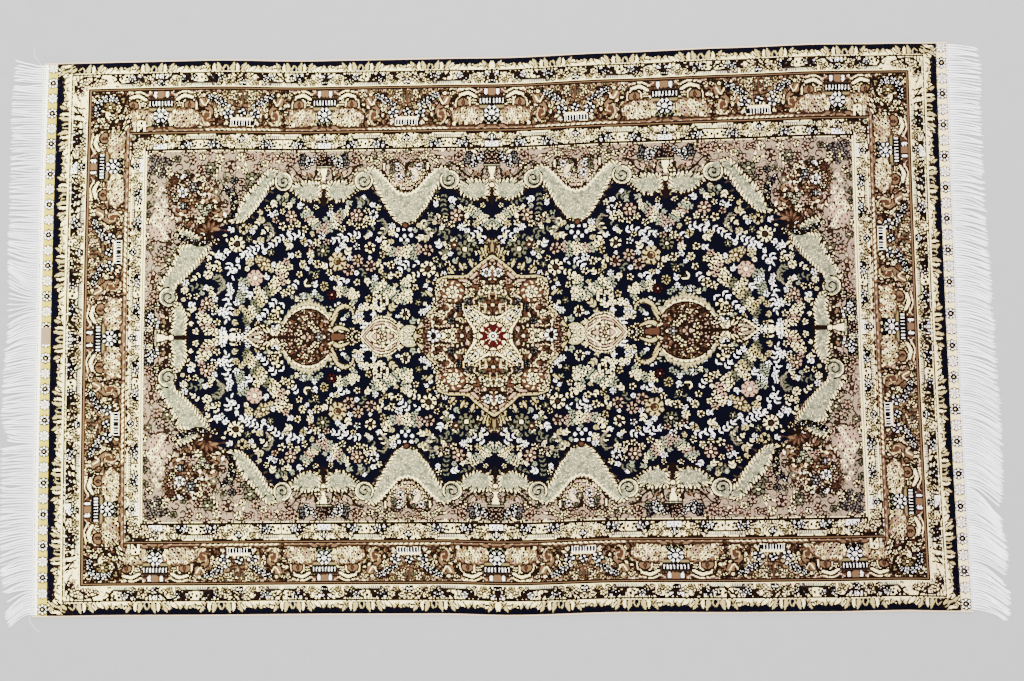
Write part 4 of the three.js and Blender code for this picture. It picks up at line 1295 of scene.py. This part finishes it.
class Wire:
    """A socket of a material's nodes. Arithmetic on it adds Math nodes, and node() adds any other node."""

    def __init__(self, tree, socket=None):
        self.tree = tree
        self.socket = socket

    def node(self, kind, settings=(), inputs=(), output=0):
        """Adds a node, sets its settings and then its inputs, and returns one of its outputs."""
        made = self.tree.nodes.new("ShaderNode" + kind)
        for name, value in dict(settings).items():
            if name == "stops":
                ramp = made.color_ramp.elements
                while len(ramp) < len(value):
                    ramp.new(1)
                for stop, (place, colour) in zip(ramp, value):
                    stop.position = place
                    stop.color = (*colour, 1)
            elif name == "interpolation":
                made.color_ramp.interpolation = value
            else:
                setattr(made, name, value)
        for name, value in dict(inputs).items():
            if isinstance(value, Wire):
                self.tree.links.new(value.socket, made.inputs[name])
            else:
                made.inputs[name].default_value = value
        return Wire(self.tree, made.outputs[output]) if made.outputs else None

    def math(self, operation, *values):
        return self.node("Math", {"operation": operation}, dict(enumerate(values)))

    def mix(self, factor, a, b, blend="MIX"):
        """One colour over another by a factor from 0 to 1."""
        return self.node("Mix", {"data_type": "RGBA", "blend_type": blend}, {0: factor, 6: a, 7: b}, 2)

    def __add__(self, other):
        return self.math("ADD", self, other)

    def __sub__(self, other):
        return self.math("SUBTRACT", self, other)

    def __rsub__(self, other):
        return self.math("SUBTRACT", other, self)

    def __mul__(self, other):
        return self.math("MULTIPLY", self, other)

    def __truediv__(self, other):
        return self.math("DIVIDE", self, other)

    def __mod__(self, other):
        return self.math("FLOORED_MODULO", self, other)

    def __lt__(self, other):
        return self.math("LESS_THAN", self, other)

    __radd__ = __add__
    __rmul__ = __mul__


def new_material(name):
    """A material with an empty node tree, and a Wire to build it with."""
    material = bpy.data.materials.new(name)
    material.use_nodes = True
    material.node_tree.nodes.clear()
    return material, Wire(material.node_tree)


def close_material(start, inputs):
    """Ends a material with the shader that has these inputs."""
    shader = start.node("BsdfPrincipled", {}, inputs)
    start.node("OutputMaterial", {}, {"Surface": shader})


STUDIO_LIGHT = 6.0


def linear(colour):
    """The share of the studio's light that a silk sends back, for it to be seen as an sRGB colour of 0 to
    255. Each channel c of 0 to 1 is the film-like curve (0.297 c / (1 - c)) to the power 1.25."""
    share = np.array(colour) / 255
    return tuple(np.clip((0.297 * share / (1 - share)) ** 1.25 / STUDIO_LIGHT, 0, 0.97))


# Tints of a painted sheen: the pile is painted lighter and yellower at its west end, darker and browner at
# its east end
WEST_PAINTED_SHEEN = (1.0, 0.98, 0.8, 1)
EAST_PAINTED_SHEEN = (0.62, 0.56, 0.54, 1)


def knotted_silk(name, columns, rows, knot_height):
    """Dyed silk knots. The map OFBake, counted in quads, gives a quad and the knot in it, and the quad's
    packed numbers give that knot's silk. Each knot is a small rounded rise. Dye drifts a little from knot to
    knot and from skein to skein. A painted sheen tints the cloth by place: lighter and yellower at the west
    end and the far side, darker and browner at the east end and the near side."""
    material, start = new_material(name)
    flat = start.node("UVMap", {"uv_map": "OFBake"})
    along = start.node("SeparateXYZ", {}, {0: flat}, 0) * columns
    across = start.node("SeparateXYZ", {}, {0: flat}, 1) * rows
    column = start.math("FLOOR", (along % 1.0) * 3)
    row = start.math("FLOOR", (across % 1.0) * 3)
    packed = start.node("Attribute", {"attribute_name": "silks"}, {}, 1)
    first = start.node("SeparateXYZ", {}, {0: packed}, 0)
    second = start.node("SeparateXYZ", {}, {0: packed}, 1)
    third = start.node("SeparateXYZ", {}, {0: packed}, 2)
    is_first = row < 0.5
    is_third = 1 - (row < 1.5)
    line = first * is_first + second * (1 - is_first - is_third) + third * is_third
    number = start.math("FLOOR", line / start.math("POWER", 32.0, column)) % 32.0
    dyes = [(k / 32, linear(colour)) for k, colour in enumerate(SILKS.values())]
    dye = start.node("ValToRGB", {"stops": dyes, "interpolation": "CONSTANT"}, {0: (number + 0.5) / 32})

    place = start.node("TexCoord", {}, {}, 3)
    east = start.node("SeparateXYZ", {}, {0: place}, 0)
    north = start.node("SeparateXYZ", {}, {0: place}, 1)
    knot = start.node("CombineXYZ", {}, {
        0: start.math("FLOOR", along * 3),
        1: start.math("FLOOR", across * 3),
    })
    grain = start.node("TexWhiteNoise", {"noise_dimensions": "2D"}, {0: knot}, 0)
    skein = start.node("TexNoise", {"noise_dimensions": "3D"}, {0: place, 2: 9.0, 3: 2.0})
    worn = start.math("ADD", 0.86, grain * 0.16 + skein * 0.22)
    # Painted sheen: a share from 0 at the west end and far side to 1 at the east end and near side picks the
    # tint
    painted_sheen_share = start.node("MapRange", {}, {0: east - north * 0.35, 1: -0.7, 2: 0.7, 3: 0.0, 4: 1.0})
    painted_sheen = start.mix(painted_sheen_share, WEST_PAINTED_SHEEN, EAST_PAINTED_SHEEN)
    # The painted sheen times the dye's drift from knot to knot and skein to skein
    shade = start.node("VectorMath", {"operation": "SCALE"}, {0: painted_sheen, "Scale": worn})
    colour = start.mix(1.0, dye, shade, "MULTIPLY")

    over = start.math("ABSOLUTE", (along * 3) % 1.0 - 0.5)
    up = start.math("ABSOLUTE", (across * 3) % 1.0 - 0.5)
    crown = 1 - (over * over + up * up) * 2.6
    height = crown * knot_height * (0.7 + grain * 0.3)
    normal = start.node("Bump", {}, {"Strength": 0.5, "Distance": 0.001, "Height": height})
    close_material(start, {
        "Base Color": colour,
        "Roughness": 0.62 - skein * 0.12,
        "Normal": normal,
        "Specular IOR Level": 0.01,
        "Sheen Weight": 0.015,
        "Sheen Roughness": 0.3,
    })
    return material


def with_sides(places, low, out):
    """Carries a grid of points one ring further, outwards by `out` and down to a height: its cut sides."""
    ringed = np.pad(places, ((1, 1), (1, 1), (0, 0)), mode="edge")
    ringed[0, :, 1] -= out
    ringed[-1, :, 1] += out
    ringed[:, 0, 0] -= out
    ringed[:, -1, 0] += out
    ringed[[0, -1], :, 2] = low
    ringed[:, [0, -1], 2] = low
    return ringed


knots = whole(draw_plan())
along, across = np.meshgrid(
    np.linspace(-HALF_LONG, HALF_LONG, PLAN_COLUMNS * 2 // 3 + 1),
    np.linspace(-HALF_WIDE, HALF_WIDE, PLAN_ROWS * 2 // 3 + 1),
)
x, y = knot_place(along, across)
rim = (np.abs(along) > 609) | (np.abs(across) > 380.5)
places = with_sides(np.stack([x, y, np.where(rim, SHOULDER, NAP)], -1), WEB, 0.2)
pile = knotted_mesh("pile", places, np.pad(knots, 3, mode="edge"))
pile.data.materials.append(knotted_silk("knotted_silk", 402, 244, 0.3))
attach(pile, "root")
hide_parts("rug_body")


# Back
# The underside, where each knot shows as a bead on the web. It is the plan seen through the cloth, so it
# is the mirror of the face, and it lies on the floor.
back_places = np.stack([x, y, np.zeros_like(x)], -1)[::2, ::-2]
coarse = knots[::2, ::2][:, ::-1]
back = knotted_mesh("back", back_places, coarse)
back.data.materials.append(knotted_silk("knot_backs", 200, 121, 0.16))
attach(back, "root")
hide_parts("rug_body")


# Flat-woven ends
# Past the last row of knots the weaver goes on with flat weave: a cream-yellow band of small round flowers,
# 21 mm deep at the left and 16 mm at the right. A plain rose panel breaks the row on the left.
END_DEPTH = {"left": 21.0, "right": 16.0}
END_TOP = 1.8


def end_band(depth, columns, rows, ground):
    """The colour plan of one end, rows along Y. Flowers stand 21.4 mm apart, 7.8 mm from the pile: a ring
    whose radius swells eight times round, by turns with a dark eye and with thin rays. A row of dark
    stitches ends it."""
    s, t = np.meshgrid((np.arange(columns) + 0.5) / columns * depth,
        (np.arange(rows) + 0.5) / rows * PILE_WIDE)
    plan = np.full(s.shape, NUMBER[ground])
    turn = np.round((t - 8) / 21.4)
    ds, dt = s - 7.8, t - 8 - turn * 21.4
    out = np.hypot(ds, dt)
    petal = np.cos(8 * np.arctan2(dt, ds))
    dark = turn % 2 == 0
    plan[out < 7.7 + 0.4 * petal] = NUMBER["cocoa"]
    plan[(out < 7.9 + 0.4 * petal) & dark] = NUMBER["bark"]
    plan[out < 6.3 + 0.6 * petal] = NUMBER["white"]
    plan[(out < 6.4) & (petal < -0.5)] = NUMBER["sand"]
    plan[(out < 6.4) & (petal < -0.4) & dark] = NUMBER["bark"]
    plan[(out < 4.0) & dark] = NUMBER["bark"]
    plan[(out < 2.0) & ~dark] = NUMBER["rose_sand"]
    plan[out < 1.1] = NUMBER["ivory"]
    plan[s > 16 - 0.2 * (21 - depth) - 1.2] = NUMBER["white"]
    plan[(np.abs(s - depth + 2.0) < 0.7) & (t % 3.4 < 1.5)] = NUMBER["bark"]
    if ground == "cream_yellow":
        plan[(np.abs(t - HALF_WIDE) < 12.5) & (s > 1.5) & (s < 14.5)] = NUMBER["rose_sand"]
    return plan


def flat_woven_end(name, sign, depth, quads, ground):
    """A grid from the side of the nap, down its slope and out to the twined row."""
    out = np.concatenate([[0.0, 1.2], np.linspace(1.2, depth, quads)[1:]])
    drop = np.concatenate([[SHOULDER, END_TOP], np.full(quads - 1, END_TOP)])
    steps, share = np.meshgrid(out, np.linspace(-1, 1, 255))
    ex, ey = plan_place(sign * (HALF_LONG + steps), share)
    spots = np.stack([ex, ey, np.broadcast_to(drop, ex.shape)], -1)
    plan = end_band(depth, (len(out) - 1) * 3, 254 * 3, ground)
    if sign < 0:
        spots, plan = spots[:, ::-1], plan[:, ::-1]
    spots = with_sides(spots, 0.0, 0.05)
    piece = knotted_mesh(name, spots, np.pad(plan, 3, mode="edge"))
    piece.data.materials.append(knotted_silk(name + "_weave", len(out) + 1, 256, 0.12))
    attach(piece, "root")
    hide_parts("rug_body")
    return piece


end_left = flat_woven_end("flat_woven_end_left", -1, END_DEPTH["left"], 10, "cream_yellow")
end_right = flat_woven_end("flat_woven_end_right", 1, END_DEPTH["right"], 8, "ivory")


# Selvedge cords
# At each long side the outermost warps are bound round and round with pale silk into one firm cord.
CORD = 2.4
CORD_RINGS = 950
CORD_ROUND = 12


def cord_mesh(name, sign):
    """A tube along one side: 12 points round, and rings 1.3 mm apart that rise and fall with each wrap."""
    low = plan_place(np.array(-630.6), np.array(float(sign)))[0]
    high = plan_place(np.array(625.6), np.array(float(sign)))[0]
    place = np.linspace(low, high, CORD_RINGS)
    turn = np.linspace(0, 2 * np.pi, CORD_ROUND, endpoint=False)
    edge = HALF_WIDE + side(place, 1) if sign > 0 else NEAR_SIDE + side(place, 2)
    wrap = 1.14 + 0.06 * np.cos(np.arange(CORD_RINGS) * np.pi)
    ring = np.stack([
        place[:, None] + 0 * turn,
        (edge - sign * CORD / 2)[:, None] + wrap[:, None] * np.cos(turn),
        CORD / 2 + wrap[:, None] * np.sin(turn),
    ], -1)
    mesh = bpy.data.meshes.new(name)
    start = np.arange(CORD_RINGS - 1)[:, None] * CORD_ROUND
    a = start + np.arange(CORD_ROUND)
    b = start + (np.arange(CORD_ROUND) + 1) % CORD_ROUND
    quads = np.stack([a, b, b + CORD_ROUND, a + CORD_ROUND], -1).reshape(-1, 4).tolist()
    last = (CORD_RINGS - 1) * CORD_ROUND
    ends = [list(range(CORD_ROUND))[::-1], list(range(last, last + CORD_ROUND))]
    mesh.from_pydata(ring.reshape(-1, 3) / 1000, [], quads + ends)
    mesh.shade_smooth()
    piece = bpy.data.objects.new(name, mesh)
    bpy.context.collection.objects.link(piece)
    return piece


def bound_silk():
    """Pale silk wound 1.3 mm a turn: fine waves across the cord, with painted shade that darkens the
    grooves.
    """
    material, start = new_material("bound_silk")
    place = start.node("TexCoord", {}, {}, 3)
    wave = start.node("TexWave", {"bands_direction": "X"}, {0: place, 1: 240.0, 2: 0.6, 3: 2.0}, 1)
    patch = start.node("TexNoise", {}, {0: place, 2: 30.0})
    # Painted shade: the wave darkens the silk in the grooves between wraps; the noise varies its tone
    shade = start.math("ADD", 0.75, wave * 0.15 + patch * 0.2)
    tint = start.node("VectorMath", {"operation": "SCALE"}, {0: linear((232, 226, 214)), "Scale": shade})
    normal = start.node("Bump", {}, {"Strength": 0.4, "Distance": 0.0004, "Height": wave})
    close_material(start, {"Base Color": tint, "Roughness": 0.55 + patch * 0.1, "Normal": normal,
        "Specular IOR Level": 0.2})
    return material


bound = bound_silk()
for name, sign in (("selvedge_cord_far", 1), ("selvedge_cord_near", -1)):
    cord = cord_mesh(name, sign)
    cord.data.materials.append(bound)
    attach(cord, "root")
    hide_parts("selvedge_far" if sign > 0 else "selvedge_near")


# Fringe
# The warps' own ends: a twined row binds them in small bundles at the edge of the flat weave, and beyond
# it they lie loose as a thick white silk fringe, combed towards the near side by handling.
LIE = {
    "left": np.array([
        (-382, 31, -15), (-354, 36, -26), (-350, 31, -6), (-336, 40, -12), (-300, 43, -11), (-255, 46, -4),
        (-215, 44, 1), (-152, 43, -4), (-148, 34, 4), (-116, 44, -3), (-60, 44, -5), (0, 40, -12),
        (30, 38, -15), (62, 39, 22), (90, 41, 12), (150, 40, 2), (250, 41, 0), (320, 42, 2),
        (360, 40, 5), (380, 37, 9),
    ]),
    "right": np.array([
        (-382, 38, -17), (-368, 46, -24), (-334, 48, -26), (-322, 38, -24), (-318, 44, -19),
        (-286, 48, -26),
        (-232, 42, -32), (-222, 33, -31), (-218, 44, -24), (-180, 47, -28), (-110, 49, -20), (-40, 46, -15),
        (60, 45, -13), (150, 41, -10), (260, 40, -6), (340, 41, -4), (378, 39, -5),
    ]),
}
STRAYS = {
    "left": (
        (0, [(-634.6, -377), (-638, -388), (-633, -398), (-622, -407)]),
        (-1, [(-629, 376), (-637, 385), (-643, 394), (-642, 404)]),
    ),
    "right": (),
}
THREADS = 3000
THREAD_STEPS = 6
BUNDLES = 226
ROOT_GAP = 0.3


def fringe_mesh(name, sign, lie, depth, seed):
    """Threads as flat ribbons of six lengths. One starts on the twined row, runs out by its reach, slides
    across by its lean times share squared, and waves a little. A bundle's threads close up to its tip."""
    rng = np.random.default_rng(seed)
    share_across = np.sort(rng.uniform(-0.998, 0.998, THREADS))
    edge = np.full(THREADS, sign * (HALF_LONG + depth + ROOT_GAP))
    root_x, root_y = plan_place(edge, share_across)
    bundle = np.floor((share_across + 1) / 2 * BUNDLES)
    _, bundle_y = plan_place(edge, (bundle + 0.5) / (BUNDLES / 2) - 1)
    bundle = bundle.astype(int)
    reach = np.interp(bundle_y, lie[:, 0], lie[:, 1]) + rng.normal(0, 1.0, BUNDLES)[bundle]
    lean = np.interp(bundle_y, lie[:, 0], lie[:, 2]) + rng.normal(0, 1.5, BUNDLES)[bundle]
    reach = reach * rng.uniform(0.92, 1.03, THREADS)
    share = np.linspace(0, 1, THREAD_STEPS + 1)[:, None]
    drift = rng.normal(0, 0.45, THREADS)
    swing = rng.normal(0, 0.9, BUNDLES)[bundle]
    wave = swing * np.sin(share * 5 + rng.uniform(0, 6, BUNDLES)[bundle])
    gather = (root_y - bundle_y) * (0.92 - 0.42 * share)
    line_x = root_x + sign * (1.3 + (reach + 1.3) * share)
    line_y = bundle_y + gather + lean * share**2 * (1.5 - 0.5 * share) + drift * share**2 + wave * share
    for thread, way in STRAYS["left" if sign < 0 else "right"]:
        way = np.array(way, float)
        line_x[:, thread] = np.interp(share[:, 0] * 3, np.arange(4), way[:, 0])
        line_y[:, thread] = np.interp(share[:, 0] * 3, np.arange(4), way[:, 1])
    inside = (share_across + 1) / 2 * BUNDLES % 1
    height = 0.25 + 1.3 * np.sin(np.pi * inside) * rng.uniform(0.8, 1.1, THREADS)
    arch = np.sin(np.pi * np.clip(share * 0.9 + 0.12, 0, 1)) ** 0.7
    rise = 0.35 + (height - 0.3) * arch + 0.9 * (1 - share) ** 4
    width = 0.27 * (1 - 0.3 * share)
    dx, dy = np.gradient(line_x, axis=0), np.gradient(line_y, axis=0)
    size = np.hypot(dx, dy)
    tilt = rng.uniform(-0.5, 0.5, THREADS)
    left = np.stack([line_x - dy / size * width, line_y + dx / size * width, rise + tilt * 0.25], -1)
    right = np.stack([line_x + dy / size * width, line_y - dx / size * width, rise - tilt * 0.25], -1)
    points = np.stack([left, right], 2)
    row = np.arange(THREAD_STEPS)[:, None] * THREADS * 2 + np.arange(THREADS) * 2
    quads = np.stack([row, row + 1, row + THREADS * 2 + 1, row + THREADS * 2], -1).reshape(-1, 4)
    mesh = bpy.data.meshes.new(name)
    mesh.from_pydata(points.reshape(-1, 3) / 1000, [], quads)
    mesh.shade_smooth()
    # Painted shade: each thread is darker towards the edges of its bundle, where threads lie low between
    # bundles; each bundle also differs at random in tone
    light = 0.34 + 0.66 * np.sin(np.pi * inside) ** 0.8 * rng.uniform(0.8, 1, BUNDLES)[bundle]
    light = np.broadcast_to(light[None, :, None], points.shape[:3]).astype(np.float32)
    mesh.attributes.new("light", "FLOAT", "POINT").data.foreach_set("value", light.ravel())
    piece = bpy.data.objects.new(name, mesh)
    bpy.context.collection.objects.link(piece)
    return piece


def warp_silk():
    """Undyed white silk: a soft gloss, with painted shade that darkens it between the bundles, and a tone
    that varies from thread to thread.
    """
    material, start = new_material("warp_silk")
    place = start.node("TexCoord", {}, {}, 3)
    strand = start.node("TexNoise", {}, {0: place, 2: 900.0, 3: 1.0})
    patch = start.node("TexNoise", {}, {0: place, 2: 60.0, 3: 2.0})
    # The attribute light holds the painted shade of the threads and pads; the noises vary the silk's tone
    light = start.node("Attribute", {"attribute_name": "light"}, {}, 2)
    shade = (strand * 0.2 + patch * 0.2 + 0.76) * light
    tint = start.node("VectorMath", {"operation": "SCALE"}, {0: linear((246, 245, 240)), "Scale": shade})
    close_material(start, {"Base Color": tint, "Roughness": 0.4 + patch * 0.15, "Specular IOR Level": 0.3})
    return material


def twined_mesh(name, sign, depth):
    """The twined row: 226 small pads, each a low dome of four by four quads, one to a bundle of warps."""
    f = np.linspace(0, 1, 5)
    u, v = np.meshgrid(f, f)
    share = -1 + 2 * (np.arange(BUNDLES)[:, None, None] + 0.08 + 0.84 * v) / BUNDLES
    ux, uy = plan_place(np.full_like(share, sign * (HALF_LONG + depth + ROOT_GAP)), share)
    swell = (np.sin(np.pi * u) * np.sin(np.pi * v)) ** 0.5
    points = np.stack([ux + sign * 2.6 * u, uy, 0.7 + 1.1 * swell + 0 * ux], -1)
    corner = np.arange(25).reshape(5, 5)
    quads = np.stack([corner[:-1, :-1], corner[:-1, 1:], corner[1:, 1:], corner[1:, :-1]], -1)
    quads = quads.reshape(-1, 4)
    quads = quads if sign > 0 else quads[:, ::-1]
    quads = (quads[None] + 25 * np.arange(BUNDLES)[:, None, None]).reshape(-1, 4)
    mesh = bpy.data.meshes.new(name)
    mesh.from_pydata(points.reshape(-1, 3) / 1000, [], quads)
    mesh.shade_smooth()
    # Painted shade: each pad darkens towards its rim, between one pad and the next
    light = np.broadcast_to(0.5 + 0.5 * swell, points.shape[:3]).astype(np.float32)
    mesh.attributes.new("light", "FLOAT", "POINT").data.foreach_set("value", light.ravel())
    piece = bpy.data.objects.new(name, mesh)
    bpy.context.collection.objects.link(piece)
    return piece


white_silk = warp_silk()
for end, sign in (("left", -1), ("right", 1)):
    for piece in (
        fringe_mesh("fringe_threads_" + end, sign, LIE[end], END_DEPTH[end], 40 + sign),
        twined_mesh("twined_row_" + end, sign, END_DEPTH[end]),
    ):
        piece.data.materials.append(white_silk)
        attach(piece, "root")
        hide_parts("fringe_" + end)


# Floor and light
# A plain pale floor, a wide soft light above and one from the far side, as in a bright room.
FLOOR_REACH = 4.0
FLOOR_LEVEL = -0.0003
floor_mesh = bpy.data.meshes.new("floor")
square = [(x * FLOOR_REACH, y * FLOOR_REACH, FLOOR_LEVEL) for x, y in ((-1, -1), (1, -1), (1, 1), (-1, 1))]
floor_mesh.from_pydata(square, [], [(0, 1, 2, 3)])
floor = bpy.data.objects.new("floor", floor_mesh)
bpy.context.collection.objects.link(floor)
material, start = new_material("pale_floor")
spot = start.node("TexNoise", {}, {0: start.node("TexCoord", {}, {}, 3), 2: 40.0})
paint = start.mix(spot, (0.225, 0.225, 0.225, 1), (0.25, 0.25, 0.25, 1))
close_material(start, {"Base Color": paint, "Roughness": 0.8})
floor.data.materials.append(material)

world = bpy.data.worlds.new("studio")
world.use_nodes = True
world.node_tree.nodes["Background"].inputs[0].default_value = (1, 1, 1, 1)
world.node_tree.nodes["Background"].inputs[1].default_value = 3.2
bpy.context.scene.world = world

for name, spot, size, power in (
    ("overhead", (-0.3, 0.4, 2.6), 2.4, 153.0),
    ("far_side", (0.6, 2.4, 1.8), 1.6, 80.0),
):
    lamp = bpy.data.objects.new(name, bpy.data.lights.new(name, "AREA"))
    lamp.data.size = size
    lamp.data.energy = power
    lamp.location = spot
    away = np.array(spot) / np.linalg.norm(spot)
    sideways = np.cross((0, 1, 0), away)
    sideways = sideways / np.linalg.norm(sideways)
    frame_of = np.eye(4)
    frame_of[:3, :3] = np.stack([sideways, np.cross(away, sideways), away], axis=1)
    frame_of[:3, 3] = spot
    lamp.matrix_world = frame_of.T.tolist()
    bpy.context.collection.objects.link(lamp)
